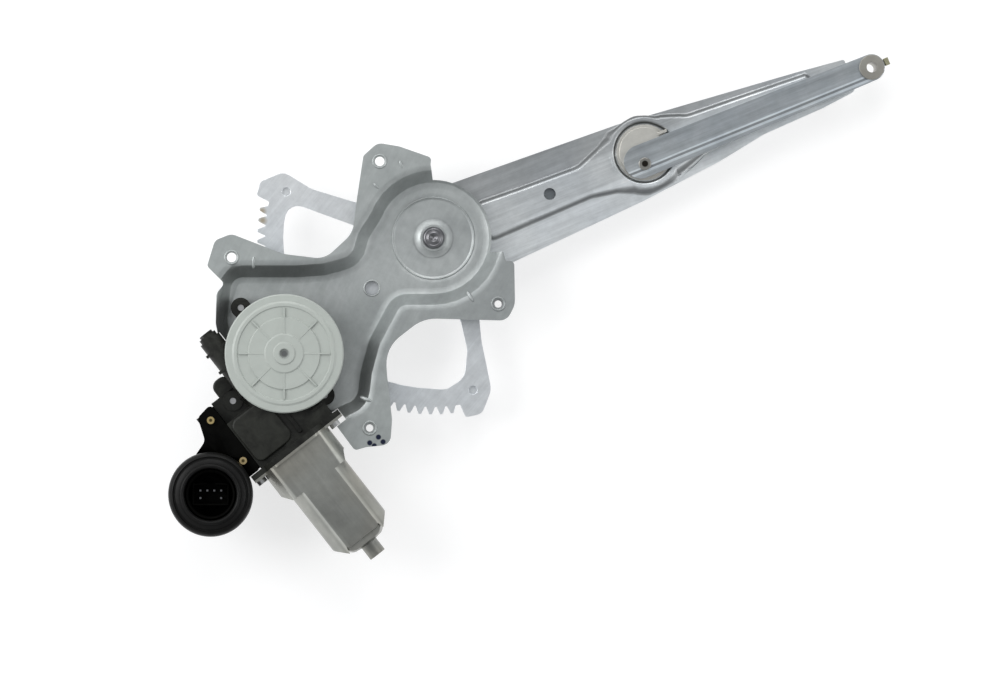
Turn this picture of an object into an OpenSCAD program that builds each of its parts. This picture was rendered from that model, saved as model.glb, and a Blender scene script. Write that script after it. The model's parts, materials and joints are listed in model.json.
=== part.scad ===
// Cross-arm power window regulator, arms folded, seen from the cabin side.
// Origin: centre of the locating hole in the base plate, on the panel's cabin face.
// +Z points to the cabin, X and Y lie in the plane of the plate.

/* [Base plate] */
// Sheet thickness of the pressed plate
plate_t = 1.6; // [1.2:0.1:2.2]
// Height of the ears' seat above the recessed panel
ear_h = 12; // [9:0.5:14]
// Width in plan of the pressed wall between panel and ears
wall_w = 12; // [9:0.5:14]
// Radius of the panel's foot line round the main pivot
boss_foot_r = 37; // [35:0.5:39]
// Radius at which the plate is trimmed round the main pivot
boss_trim_r = 40.6; // [39.5:0.2:43]
// Radius of the pressed disc round the main pivot
disc_r = 27; // [24:0.5:31]
// Depth of the pressed disc
disc_d = 1; // [0.6:0.1:1.4]
// Plan width of the sloped step round the pressed disc
disc_slope = 2.2; // [1:0.1:3]
// Radius of the locating hole
datum_r = 5.6; // [4:0.1:7]
// Radius of each ear's bolt hole
ear_hole_r = 3.4; // [3:0.1:4]
// Length of each ear's bolt hole, with its drawn collar
ear_hole_len = 4; // [3:0.2:6]
// Across-flats size of the weld nuts
nut_af = 11; // [10:0.5:14]
// Height of the weld nuts
nut_h = 5; // [4:0.5:7]

/* [Main pivot] */
// Radius of the pivot pin
pivot_r = 6; // [5:0.2:7]
// Height of the pivot collar above the panel
collar_h = 5; // [4:0.5:7]
// Wall of the pivot collar
collar_wall = 1.6; // [1.2:0.1:2]
// Spread of the pivot collar at its foot
collar_flare = 3.2; // [2:0.2:4]
// Wall of the pivot bush
bush_wall = 1.4; // [1:0.1:2]
// Radius of the pivot pin's domed head
pivot_head_r = 7.8; // [7.6:0.1:9]
// Height of the domed head
pivot_head_h = 3.4; // [2.5:0.1:5]

/* [Sector gear] */
// Gear module of sector and pinion
gear_m = 2.4; // [2.3:0.05:2.5]
// Teeth that a full sector circle would have
sector_z = 102; // [100:1:104]
// Teeth of the pinion
pinion_z = 8; // [8:1:9]
// Thickness of the sector
sector_t = 3; // [2.5:0.1:3.5]
// Angular span of the toothed rim
sector_span = 112; // [104:1:116]
// Width of the rim below the teeth
rim_w = 13; // [10:0.5:16]
// Radius of the riveted hub
hub_r = 33; // [30:0.5:36]
// Depth of the teeth in modules
tooth_depth = 2.2; // [2.1:0.05:2.4]

/* [Lift arm] */
// Sheet thickness of the lift arm
arm_t = 2.2; // [1.8:0.1:2.8]
// Distance from main pivot to cross pivot
cross_x = 160; // [156:1:164]
// Distance from main pivot to lift roller
roller_x = 292; // [284:1:296]
// Height of the pressed channel
bead_h = 2.4; // [1.8:0.1:2.8]
// Outer radius of the pressed ring round the cross pivot
ring_r = 26; // [24.5:0.5:27]
// Inner radius of the pressed ring
ring_bore = 20.5; // [19.6:0.1:21.5]

/* [Equalizer] */
// Radius of the cross pivot disc
hub_disc_r = 17.5; // [16:0.1:18.5]
// Sheet thickness of the two half arms
half_t = 2.2; // [1.8:0.1:2.6]
// Distance from cross pivot to the front half arm's pin
front_x = 169; // [165:1:176]
// Distance from cross pivot to the rear half arm's pin
rear_x = 150; // [140:1:152]
// Width of a half arm at the cross pivot
half_w = 23.6; // [22:0.2:25]
// Width of a half arm at its pin
half_end_w = 18.6; // [17:0.2:20]
// Depth of the half arms' channel section
half_depth = 6.5; // [5.5:0.1:8]

/* [Rollers] */
// Radius of the lift roller
lift_roller_r = 13; // [11:0.5:14]
// Radius of the rear roller
rear_roller_r = 11; // [9:0.5:12]
// Radius of the front roller
front_roller_r = 9; // [7.5:0.5:10]
// Width of the rollers that run in the glass channel
roller_w = 8; // [6:0.5:10]
// Radius of the roller pins
roller_pin_r = 4; // [3.5:0.1:5]
// Bore radius of the hollow front pin
hollow_pin_bore = 3.6; // [3:0.1:4]

/* [Gear unit] */
// Teeth of the worm wheel
wheel_z = 73; // [65:1:76]
// Module of the worm wheel
wheel_m = 0.84; // [0.8:0.01:0.86]
// Pitch radius of the worm
worm_pitch_r = 4.1; // [3.9:0.1:4.4]
// Face width of the worm wheel
wheel_w = 9; // [7:0.5:10]
// Radius of the output shaft
output_r = 8; // [7:0.2:8.6]
// Height of the worm's axis above the panel
worm_h = 17; // [16:0.5:18]
// Radius of the gear cover
cover_r = 41.3; // [39.5:0.2:43]
// Height of the gear housing's rim above the panel
case_h = 26.5; // [26:0.5:29]
// Number of radial ribs on the gear cover
cover_ribs = 8; // [6:1:12]

/* [Motor] */
// Radius of the motor can's round sides
can_r = 22.8; // [22:0.2:24]
// Depth of the two flats on the can's round sides
flat_depth = 4.4; // [3.8:0.2:5.4]
// Sheet thickness of the can
can_t = 1.8; // [1.4:0.1:2.2]
// Length of the can from its flange
can_len = 83; // [78:1:90]
// Thickness of the magnets
magnet_t = 4.8; // [4:0.1:5.5]
// Radius of the armature shaft
shaft_r = 4; // [3.5:0.1:4.4]
// Slots in the armature core
core_slots = 10; // [8:1:12]

/* [Connector] */
// Outer radius of the rubber boot
boot_r = 29.4; // [28:0.2:31]
// Radius of the boot's opening
boot_bore = 18.2; // [17.4:0.1:19]
// Height of the rubber boot
boot_h = 22; // [18:1:26]
// Spacing of the contact pins
pin_pitch = 4.8; // [4.2:0.1:5]
// Side of the square contact pins
pin_side = 1.2; // [0.8:0.1:1.6]

/* [Clearances] */
// Radial clearance of running fits
run_gap = 0.05; // [0.02:0.01:0.08]
// Radial clearance of pressed and riveted pieces
press_gap = 0.02; // [0:0.01:0.04]
// Clearance between pieces that pass each other
pass_gap = 0.3; // [0.3:0.05:0.5]
// Clearance of a thrust face
thrust_gap = 0.15; // [0.1:0.05:0.2]
// Thinning of each gear tooth for backlash
backlash = 0.2; // [0.15:0.05:0.3]

/* [Hidden] */
$fn = 96;
eps = 0.01;

// Places in plan, from the locating hole
pivot = [43, 35];
arm_angle = 22.2;
mesh_angle = 218;
pitch_sector = gear_m * sector_z / 2;
pitch_pinion = gear_m * pinion_z / 2;
gear_axis = pivot + (pitch_sector + pitch_pinion) * [cos(mesh_angle), sin(mesh_angle)];
motor_angle = -52;
along = [cos(motor_angle), sin(motor_angle)];
across = [-sin(motor_angle), cos(motor_angle)];
pitch_wheel = wheel_m * wheel_z / 2;
worm_centre = pitch_wheel + worm_pitch_r;
worm_foot = gear_axis - worm_centre * across;

// Heights
panel_back = -plate_t;
rivet_h = 1.3;
disc_back = -disc_d - plate_t;
sector_front = disc_back - 0.7 - rivet_h;
sector_back = sector_front - sector_t;
arm_front = sector_back;
arm_back = arm_front - arm_t;
bead_top = arm_front + bead_h;
hub_top = bead_top + pass_gap;
hub_bottom = arm_back - thrust_gap - 1.2;
pivot_tail_h = 2.8;
front_web_top = hub_top + half_depth;
rear_web_top = arm_back - pivot_tail_h - 2 * pass_gap;
channel_top = rear_web_top - half_depth - 1;
roller_low = channel_top - roller_w;

// Points of a closed outline [x, y, corner radius], each corner turned into an arc
function unit(v) = v / norm(v);
function corner(a, p, b, steps) =
    let (
        c = [p[0], p[1]],
        u = unit([a[0], a[1]] - c),
        w = unit([b[0], b[1]] - c),
        half = acos(max(-1, min(1, u * w))) / 2,
        reach = p[2] / tan(half),
        mid = c + unit(u + w) * p[2] / sin(half),
        from = c + u * reach - mid,
        to = c + w * reach - mid,
        start = atan2(from[1], from[0]),
        turn = atan2(from[0] * to[1] - from[1] * to[0], from * to)
    )
    p[2] < 0.05 ? [c] : [for (i = [0 : steps]) mid + p[2] * [
        cos(start + turn * i / steps), sin(start + turn * i / steps)]];
function rounded(pts, steps = 6) = [
    for (i = [0 : len(pts) - 1])
        each corner(pts[(i + len(pts) - 1) % len(pts)], pts[i], pts[(i + 1) % len(pts)], steps)
];
function arc(c, r, from, to, steps) = [
    for (i = [0 : steps]) c + r * [cos(from + (to - from) * i / steps),
                                   sin(from + (to - from) * i / steps)]
];

// The outline moved outwards by d along its own normals, for a clockwise outline
function grown(pts, d) = [
    for (i = [0 : len(pts) - 1])
        let (
            a = pts[(i + len(pts) - 1) % len(pts)],
            b = pts[(i + 1) % len(pts)],
            t = unit(b - a)
        )
        pts[i] + d * [-t[1], t[0]]
];

// Involute teeth
pressure = 25;
shift = 0.4;
addendum = 0.8;
function inv_deg(a) = tan(a) * 180 / PI - a;
function half_tooth(r, pitch, thick) =
    let (base = pitch * cos(pressure))
    thick / pitch * 90 / PI + inv_deg(pressure) - (r > base ? inv_deg(acos(base / r)) : 0);
function tooth(mid_angle, pitch, thick, root, tip, steps) = [
    for (side = [1, -1])
        for (i = [0 : steps])
            let (
                k = side > 0 ? i : steps - i,
                r = root + (tip - root) * k / steps,
                a = mid_angle + side * half_tooth(r, pitch, thick)
            )
            r * [cos(a), sin(a)]
];
function tooth_width(x) = gear_m * (PI / 2 + 2 * x * tan(pressure)) - backlash;
tip_pinion = pitch_pinion + gear_m * (addendum + shift);
tip_sector = pitch_sector + gear_m * (addendum - shift);
root_pinion = pitch_sector + pitch_pinion - tip_sector - 0.45;
root_sector = tip_sector - gear_m * tooth_depth;
tooth_step = 360 / sector_z;
teeth_low = -round(sector_span * 0.455 / tooth_step);
teeth_high = round(sector_span * 0.505 / tooth_step);

module place_pivot() {
    translate([pivot[0], pivot[1], 0]) children();
}
module place_arm() {
    place_pivot() rotate([0, 0, arm_angle]) children();
}
module place_cross() {
    place_arm() translate([cross_x, 0, 0]) children();
}
module place_gear() {
    translate([gear_axis[0], gear_axis[1], 0]) children();
}
// X runs along the armature towards the can, Y across it towards the gear axis
module place_motor(z = 0) {
    translate([worm_foot[0], worm_foot[1], z]) rotate([0, 0, motor_angle]) children();
}
// A shape drawn in the section plane of the motor, extruded from x0 to x1 along its axis
module motor_bar(x0, x1) {
    place_motor(worm_h) translate([x0, 0, 0]) rotate([90, 0, 90]) linear_extrude(x1 - x0) children();
}
module ring2d(outer, inner) {
    difference() {
        circle(outer);
        circle(inner);
    }
}
module disc(z0, z1, r) {
    translate([0, 0, z0]) cylinder(h = z1 - z0, r = r);
}
module slab(z0, z1) {
    translate([0, 0, z0]) linear_extrude(z1 - z0) children();
}

// Base plate: a pressed tray. The blank's outline, then the foot line of its recessed panel.
ears = [[-97.9, 21.1], [5.4, 88.1], [88.1, -11.3], [-1.6, -97.9]];
blank_pts = [
    [-6, 92, 4], [4, 101, 8], [19, 98.5, 20], [41.5, 90.6, 3], [40.8, 86, 3], [43.5, 70, 0],
    [70, 30, 0], [83, 25, 0], [91.5, 25.2, 1.5], [93.2, 18.6, 1], [99.2, 18.5, 3], [99.7, -12, 14],
    [94, -23, 8], [35.8, -21.4, 26], [9.4, -42, 24], [10.4, -60, 40], [14, -92, 16],
    [12.8, -109.5, 7], [-4, -111.2, 8], [-12, -113.5, 3], [-28, -92, 0], [-60, -93, 0],
    [-100, -93, 9], [-107, -76, 8],
    [-102, -60, 6], [-109, -25, 10], [-108.4, -4, 6], [-103, 3, 3], [-115, 15, 3],
    [-109.5, 33, 6], [-98, 37.5, 8], [-62, 23.5, 30], [-33, 20, 16], [-13.5, 38, 18],
    [-10.5, 62, 20]
];
foot_pts = [
    [14, -2, 18], [-4, -36, 30], [-10, -58, 40], [-12, -76, 9], [-34, -86, 30], [-60, -91, 20],
    [-99, -91, 9], [-105, -76, 8], [-99, -56, 20], [-99, -20, 20], [-96, 5.5, 6], [-52, 5.5, 20],
    [-32, 7, 30], [-4.5, 14.5, 22], [-1, 33, 20]
];
module blank2d() {
    polygon(rounded(blank_pts));
    translate(pivot) circle(boss_trim_r);
}
function foot_outline() =
    let (boss = arc(pivot, boss_foot_r, 160, -90, 24), last = len(boss) - 1)
    concat(
        [for (i = [1 : last - 1]) boss[i]],
        rounded(concat([[boss[last][0], boss[last][1], 0]], foot_pts, [[boss[0][0], boss[0][1], 0]]), 4)
    );
function press_height(f) = ear_h * (1 - cos(180 * f)) / 2;
module press_wall() {
    foot = foot_outline();
    n = len(foot);
    steps = 6;
    thin = plate_t / 2;
    levels = concat(
        [for (i = [0 : steps]) [wall_w * i / steps, press_height(i / steps)]],
        [for (i = [steps : -1 : 0]) [wall_w * i / steps + thin * sin(180 * i / steps),
                                     press_height(i / steps) - plate_t]]
    );
    m = len(levels);
    points = [for (l = levels) for (p = grown(foot, l[0])) [p[0], p[1], l[1]]];
    faces = [
        for (j = [0 : m - 1]) for (i = [0 : n - 1])
            let (a = j * n + i, b = j * n + (i + 1) % n, c = ((j + 1) % m) * n)
            each [[a, c + i, c + (i + 1) % n], [a, c + (i + 1) % n, b]]
    ];
    polyhedron(points, faces);
}
mount_screws = [[-97, -79], [-91.5, -14], [-33, -75]];
pilot_r = 17;
collar_r = pivot_r + run_gap + bush_wall + press_gap + collar_wall;
module base_plate() {
    color([0.62, 0.64, 0.66])
    difference() {
        union() {
            slab(panel_back, 0) intersection() {
                polygon(foot_outline());
                blank2d();
            }
            intersection() {
                press_wall();
                slab(panel_back - 1, ear_h + 1) blank2d();
            }
            slab(ear_h - plate_t, ear_h) difference() {
                blank2d();
                polygon(grown(foot_outline(), wall_w));
            }
            place_pivot() disc(disc_back, -disc_d, disc_r + plate_t);
            place_pivot() disc(-disc_d - eps, collar_h, collar_r);
            place_pivot() translate([0, 0, -disc_d - eps])
                cylinder(h = collar_h / 2, r1 = collar_r + collar_flare, r2 = collar_r);
            for (e = ears)
                translate([e[0], e[1], ear_h - ear_hole_len]) cylinder(h = ear_hole_len, r = ear_hole_r + 1.5);
        }
        place_pivot() translate([0, 0, -disc_d]) difference() {
            cylinder(h = disc_d + eps, r1 = disc_r, r2 = disc_r + disc_slope);
            cylinder(h = collar_h / 2, r1 = collar_r + collar_flare, r2 = collar_r);
        }
        place_pivot() disc(disc_back - 1, collar_h + 1, collar_r - collar_wall);
        disc(panel_back - 1, 1, datum_r);
        place_gear() disc(panel_back - 1, 1, pilot_r);
        for (e = ears)
            translate([e[0], e[1], ear_h - ear_hole_len - 1]) cylinder(h = ear_hole_len + 2, r = ear_hole_r);
        for (s = mount_screws) translate(s) disc(panel_back - 1, 1, 2.8);
        slab(0, ear_h + 2) case2d(pass_gap);
        slab(panel_back - 1, ear_h + 2) motor2d(pass_gap);
    }
}

// Bush pressed into the plate's collar, with a thrust flange against the sector
module pivot_bush() {
    color([0.72, 0.6, 0.35])
    place_pivot() difference() {
        union() {
            disc(disc_back, collar_h, pivot_r + run_gap + bush_wall);
            disc(sector_front + thrust_gap, disc_back, pivot_r + 6);
        }
        disc(sector_front - 1, collar_h + 1, pivot_r + run_gap);
    }
}

// Weld nuts behind the right and the lower ear
module ear_weld_nuts() {
    color([0.55, 0.56, 0.58])
    for (e = [ears[2], ears[3]])
        translate([e[0], e[1], ear_h - ear_hole_len - nut_h]) difference() {
            cylinder(h = nut_h, r = nut_af / 2 / cos(30), $fn = 6);
            translate([0, 0, -1]) cylinder(h = nut_h + 2, r = ear_hole_r - 0.85);
        }
}

// Gear housing: outline on the plate, then the case with its worm tunnel and can flange
flange_x = 57;
flange_t = 4;
tunnel_r = 8;
tunnel_end = -40;
case_r = cover_r - 1.3;
boss_r = 7;
boss_h = 12;
block_x = 14;
block_low = 27;
block_high = 36;
side_x = -4;
side_h = 11;
shelf_t = 2.9;
screw_head_h = 3.2;
mouth_extra = 4.4;
mouth_low = can_r + mouth_extra + 1;
mouth_high = can_r + mouth_extra - 0.7;
motor_screw_head_r = 3.7;
motor_screw_at = mouth_low + pass_gap + motor_screw_head_r;
flange_low = motor_screw_at + 4;
flange_high = motor_screw_at + 8;
shelf_x = -2;
shelf_y = -42;
case_ribs = [-32, -18, 4];
case_rib_t = 1.8;
case_rib_out = 1.5;
// Web between a screw boss and the gear case
module ear_web2d(s, gap = 0) {
    d = gear_axis - s;
    n = (boss_r * 0.9 + gap) * [-d[1], d[0]] / norm(d);
    polygon([s + n, s + n * 1.6 + d * 0.5, s - n * 1.6 + d * 0.5, s - n]);
}
module case2d(gap) {
    translate(gear_axis) circle(case_r + gap);
    translate(worm_foot) rotate(motor_angle) {
        translate([tunnel_end, -tunnel_r - gap]) square([flange_x - tunnel_end, 2 * (tunnel_r + gap)]);
        translate([block_x, -block_low - gap])
            square([flange_x - block_x, block_low + block_high + 2 * gap]);
        translate([shelf_x - gap, shelf_y - gap]) square([flange_x - shelf_x, -shelf_y]);
        translate([side_x - gap, -block_low - gap]) square([block_x - side_x + 2 * gap, block_low + 2 * gap]);
        for (x = case_ribs)
            translate([x - gap, -tunnel_r - case_rib_out - gap])
                square([case_rib_t + 2 * gap, 2 * (tunnel_r + case_rib_out + gap)]);
    }
    for (s = mount_screws) {
        translate(s) circle(boss_r + gap);
        ear_web2d(s, gap);
    }
}
module motor2d(gap) {
    translate(worm_foot) rotate(motor_angle) {
        translate([flange_x - flange_t - gap, -flange_low - gap])
            square([flange_t + can_t + screw_head_h + 2 * gap, flange_low + flange_high + 2 * gap]);
        translate([flange_x, -can_r - mouth_extra - gap])
            square([can_len + nub_len, 2 * (can_r + mouth_extra + gap)]);
    }
}
wheel_cavity_r = pitch_wheel + wheel_m + 1.6;
case_floor = 5;
seal_r = (wheel_cavity_r + case_r) / 2;
wheel_low = worm_h - wheel_w / 2;
shaft_top = wheel_low + wheel_w + 1.5;
module gear_housing() {
    color([0.13, 0.13, 0.13])
    difference() {
        union() {
            place_gear() disc(panel_back + 0.2, 0, pilot_r - 0.1);
            place_gear() disc(0, case_h, case_r);
            motor_bar(tunnel_end, flange_x - flange_t) circle(tunnel_r);
            place_motor() translate([block_x, -block_low, 0])
                cube([flange_x - flange_t - block_x, block_low + block_high, case_h - 3]);
            place_motor() translate([side_x, -block_low, 0]) cube([block_x - side_x + 1, block_low, side_h]);
            place_motor() translate([shelf_x, shelf_y, 0])
                cube([flange_x - flange_t - shelf_x - 1, -shelf_y, shelf_t]);
            motor_bar(flange_x - flange_t, flange_x) can_flange2d();
            for (s = mount_screws) {
                translate(s) disc(0, boss_h, boss_r);
                slab(0, boss_h - 2) ear_web2d(s);
            }
            for (x = case_ribs)
                place_motor() translate([x, -tunnel_r - case_rib_out, 6])
                    cube([case_rib_t, 2 * (tunnel_r + case_rib_out), 18]);
        }
        place_gear() difference() {
            disc(case_floor, case_h + 1, wheel_cavity_r);
            disc(case_floor - 1, wheel_low - thrust_gap, output_r + 6);
        }
        place_gear() disc(panel_back - 1, case_h, output_r + run_gap + 1.5 + press_gap);
        motor_bar(tunnel_end + 3, flange_x + 1) circle(shaft_r + 2.6);
        place_gear() slab(case_h - 2, case_h + 1) ring2d(seal_r + 1, seal_r - 1);
        for (s = mount_screws) translate(s) disc(-1, 13, 2.2);
        for (s = box_screws) translate(s) disc(-1, shelf_t + 1, box_screw_r + press_gap);
        for (side = [-1, 1])
            motor_bar(flange_x - 5, flange_x + 1) translate([side * motor_screw_at, 0]) circle(2);
    }
}
// In the section plane the cabin side points to +Y and the gear side to +X
module can_flange2d() {
    intersection() {
        union() {
            translate([-flange_low, -10]) square([flange_low + flange_high, 20]);
            circle(can_r + 4);
        }
        square([100, 2 * can_flat + 4], center = true);
    }
}

// Cover disc: stepped rings, a hub boss with a dimple and radial ribs
module gear_cover() {
    base = case_h + 0.1;
    rim = base + 3.2;
    hub = base + 4.2;
    color([0.72, 0.74, 0.72])
    place_gear() union() {
        rotate_extrude() polygon([
            [0, shaft_top + thrust_gap], [output_r - 1, shaft_top + thrust_gap], [output_r - 1, base],
            [wheel_cavity_r - 2, base], [wheel_cavity_r - 2, base - 1.6], [wheel_cavity_r - 0.2, base - 1.6],
            [wheel_cavity_r - 0.2, base], [cover_r, base], [cover_r, base + 2.4], [cover_r - 0.8, rim],
            [cover_r - 5, rim], [cover_r - 6.4, base + 4], [33, base + 4], [32.2, rim],
            [25.4, rim], [24.6, hub], [14, hub], [13, base + 5], [8, base + 5],
            [7.2, base + 5.8], [3.4, base + 5.8], [2.6, base + 4.6], [0, base + 4.6]
        ]);
        for (i = [0 : cover_ribs - 1])
            rotate([0, 0, i * 360 / cover_ribs])
                translate([13.6, -0.5, rim - 1]) cube([18, 1, 2.3]);
    }
}
module cover_seal() {
    color([0.1, 0.1, 0.1])
    place_gear() slab(case_h - 2 + press_gap, case_h + press_gap) ring2d(seal_r + 0.9, seal_r - 0.9);
}
module output_bush() {
    color([0.72, 0.6, 0.35])
    place_gear() difference() {
        disc(panel_back + 0.2, wheel_low - thrust_gap - 0.2, output_r + run_gap + 1.5);
        disc(panel_back - 1, wheel_low, output_r + run_gap);
    }
}
module housing_screws() {
    color([0.7, 0.7, 0.72])
    for (s = mount_screws) translate(s) {
        disc(panel_back - 2.2, panel_back, 4.4);
        disc(panel_back, 11, 2.2 - press_gap);
    }
}

// Motor can: round sides between two flats, a wide mouth and a closed end with a bearing nub
can_flat = can_r - flat_depth;
mouth_x = 20;
shoulder = 7;
end_taper = 11;
nub_r = 6.2;
nub_len = 10;
module can_section2d(gap) {
    intersection() {
        circle(can_r - gap);
        square([100, 2 * (can_flat - gap)], center = true);
    }
}
module mouth_section2d(gap) {
    intersection() {
        union() {
            circle(can_r + mouth_extra - gap);
            translate([-1, 0]) circle(can_r + mouth_extra - gap);
        }
        square([100, 2 * (can_flat - gap)], center = true);
    }
}
module can_plan(gap) {
    place_motor(worm_h - 30) linear_extrude(60) polygon(rounded([
        [flange_x - 1, -40, 0], [flange_x + mouth_x, -40, 0], [flange_x + mouth_x, gap - mouth_low, 3],
        [flange_x + mouth_x + shoulder, gap - can_r, 4],
        [flange_x + can_len - end_taper, gap - can_r, 3], [flange_x + can_len - gap, gap + 10.8 - can_r, 6],
        [flange_x + can_len - gap, can_r - 10.8 - gap, 6], [flange_x + can_len - end_taper, can_r - gap, 3],
        [flange_x + mouth_x + shoulder, can_r - gap, 4], [flange_x + mouth_x, mouth_high - gap, 3],
        [flange_x + mouth_x, 40, 0], [flange_x - 1, 40, 0]
    ], 4));
}
module can_form(gap) {
    intersection() {
        union() {
            motor_bar(flange_x - (gap > 0 ? 1 : 0), flange_x + mouth_x + shoulder - gap) mouth_section2d(gap);
            motor_bar(flange_x + mouth_x, flange_x + can_len - gap) can_section2d(gap);
        }
        can_plan(gap);
    }
}
module motor_yoke() {
    color([0.6, 0.6, 0.58])
    difference() {
        union() {
            can_form(0);
            motor_bar(flange_x, flange_x + can_t) can_flange2d();
            motor_bar(flange_x + can_len - 1, flange_x + can_len + nub_len) circle(nub_r);
        }
        can_form(can_t);
        motor_bar(flange_x + can_len - 3, flange_x + can_len + nub_len - can_t) circle(nub_r - 1.2);
        for (side = [-1, 1])
            motor_bar(flange_x - 1, flange_x + can_t + 1) translate([side * motor_screw_at, 0]) circle(2.6);
    }
}
magnet_x = [flange_x + can_len - 56, flange_x + can_len - 17];
air_gap = 0.8;
core_r = can_r - can_t - press_gap - magnet_t - air_gap;
magnet_cut = sqrt(pow(can_r - can_t, 2) - pow(can_flat - can_t - 0.2, 2));
module motor_magnets() {
    color([0.25, 0.25, 0.27])
    motor_bar(magnet_x[0], magnet_x[1]) difference() {
        circle(can_r - can_t - press_gap);
        circle(core_r + air_gap);
        square([2 * magnet_cut, 3 * can_r], center = true);
    }
}
module motor_screws() {
    color([0.75, 0.74, 0.7])
    for (side = [-1, 1]) {
        motor_bar(flange_x + can_t, flange_x + can_t + screw_head_h)
            translate([side * motor_screw_at, 0]) circle(motor_screw_head_r);
        motor_bar(flange_x - 3.8, flange_x + can_t) translate([side * motor_screw_at, 0]) circle(2 - press_gap);
    }
}
module yoke_bearing() {
    color([0.72, 0.6, 0.35])
    motor_bar(flange_x + can_len - 1, flange_x + can_len + nub_len - can_t - 1)
        ring2d(nub_r - 1.2 - press_gap, shaft_r + run_gap);
}
worm_bearing_x = [[tunnel_end + 8, tunnel_end + 16], [24, 32]];
module worm_bearings() {
    color([0.72, 0.6, 0.35])
    for (b = worm_bearing_x)
        motor_bar(b[0], b[1]) ring2d(shaft_r + 2.6 - press_gap, shaft_r + run_gap);
}
module thrust_cap() {
    color([0.16, 0.16, 0.16])
    union() {
        motor_bar(tunnel_end - 3, tunnel_end - press_gap) circle(6.6);
        motor_bar(tunnel_end - 5, tunnel_end - 3 + eps) circle(5, $fn = 6);
    }
}

// Brush gear at the mouth of the can
commutator_r = 9.5;
commutator_x = [flange_x + 5, flange_x + 17];
brush_w = 5;
brush_in = commutator_r - 0.9;
brush_end = can_r - 0.95;
spring_at = brush_end - 3.23;
module brush_holder() {
    color([0.3, 0.25, 0.2])
    difference() {
        union() {
            intersection() {
                can_form(can_t + press_gap);
                motor_bar(flange_x + 0.1, flange_x + 3) square(100, center = true);
            }
            for (side = [-1, 1])
                motor_bar(flange_x + 2.9, flange_x + 16)
                    translate([side * (brush_end + 1.7 + 11.4) / 2, 0])
                        square([brush_end + 1.7 - 11.4, brush_w + 4], center = true);
        }
        motor_bar(flange_x - 1, flange_x + 4) circle(commutator_r + 1.5);
        for (side = [-1, 1])
            motor_bar(flange_x + 7, flange_x + 14) translate([side * brush_end / 2, 0])
                square([brush_end, brush_w + 0.2], center = true);
    }
}
module brushes() {
    color([0.12, 0.12, 0.12])
    for (side = [-1, 1])
        motor_bar(flange_x + 7.1, flange_x + 13.9) difference() {
            translate([side * (brush_in + spring_at - press_gap) / 2, 0])
                square([spring_at - press_gap - brush_in, brush_w], center = true);
            circle(commutator_r + 0.1);
        }
}
module brush_springs() {
    wire_r = 0.5;
    color([0.7, 0.7, 0.72])
    for (side = [-1, 1])
        place_motor(worm_h) translate([flange_x + 10.5, side * spring_at, 0]) rotate([-90 * side, 0, 0])
            for (k = [0 : 2]) translate([0, 0, wire_r + k * 1.07])
                rotate_extrude() translate([1.6, 0]) circle(wire_r, $fn = 16);
}

// Connector housing: electronics box, neck and round collar with the contact well
boot_at = worm_foot + 45.5 * along - 65.5 * across;
collar_low = 12;
collar_top = 34;
well_r = 15.4;
tube_r = 17.9;
box_low = 3;
box_top = 24;
box_wall = 1.8;
box_pts = [
    [52.6, -27.3, 3], [52.6, -38.6, 2], [56, -42, 4], [56, -60, 6], [30, -68, 12], [19, -62, 6],
    [14, -46, 6], [-2, -40, 4], [-4, -27.3, 3]
];
module box2d(gap) {
    translate(worm_foot) rotate(motor_angle) polygon(grown(rounded(box_pts, 4), -gap));
}
box_screws = [worm_foot + 5 * along - 34 * across, worm_foot + 41 * along - 33.5 * across];
box_screw_r = 1.6;
board_t = 1.6;
board_top = box_low + 2 + board_t;
shroud = [26, 16, 12];
shroud_wall = 1.4;
well_floor = collar_low + 4;
module connector_housing() {
    color([0.14, 0.14, 0.15])
    difference() {
        union() {
            slab(box_low, box_top) box2d(0);
            translate(boot_at) disc(collar_low, well_floor, boot_r - 3);
            translate(boot_at) disc(collar_low, collar_top, tube_r);
        }
        difference() {
            slab(box_low - 1, box_top - box_wall) box2d(box_wall);
            translate(boot_at) disc(collar_low, box_top, boot_r + pass_gap + box_wall);
            for (s = box_screws) translate(s) disc(board_top, box_top, 3.8);
        }
        translate(boot_at) slab(well_floor, box_top + 1) ring2d(boot_r + pass_gap, tube_r);
        translate(boot_at) difference() {
            disc(well_floor, collar_top + 1, well_r);
            slab(well_floor - 1, well_floor + shroud[2]) difference() {
                square([shroud[0], shroud[1]], center = true);
                square([shroud[0] - 2 * shroud_wall, shroud[1] - 2 * shroud_wall], center = true);
                translate([0, shroud[1] / 2]) square([6, 4], center = true);
            }
        }
        for (s = box_screws) translate(s) disc(box_low - 1, box_top + 1, box_screw_r + press_gap);
    }
}
pin_spots = concat(
    [for (i = [-1.5 : 1 : 1.5]) [i * pin_pitch, 2.6]],
    [for (i = [-1.5, 1.5]) [i * pin_pitch, -2.6]]
);
module connector_pins() {
    color([0.8, 0.78, 0.7])
    translate([boot_at[0], boot_at[1], well_floor]) for (p = pin_spots)
        translate([p[0] - pin_side / 2, p[1] - pin_side / 2, 0]) cube([pin_side, pin_side, 10]);
}
module circuit_board() {
    color([0.1, 0.35, 0.2])
    slab(board_top - board_t, board_top) difference() {
        box2d(box_wall + 0.2);
        for (s = box_screws) translate(s) circle(box_screw_r + 0.2);
    }
}
module connector_lid() {
    color([0.14, 0.14, 0.15])
    slab(box_low, board_top - board_t) difference() {
        box2d(box_wall + 0.1);
        for (s = box_screws) translate(s) circle(box_screw_r + 0.2);
    }
}
module connector_screws() {
    color([0.75, 0.62, 0.3])
    for (s = box_screws) translate(s) {
        disc(box_top, box_top + 2, 2.6);
        disc(0.2, box_top, box_screw_r);
    }
}
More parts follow.
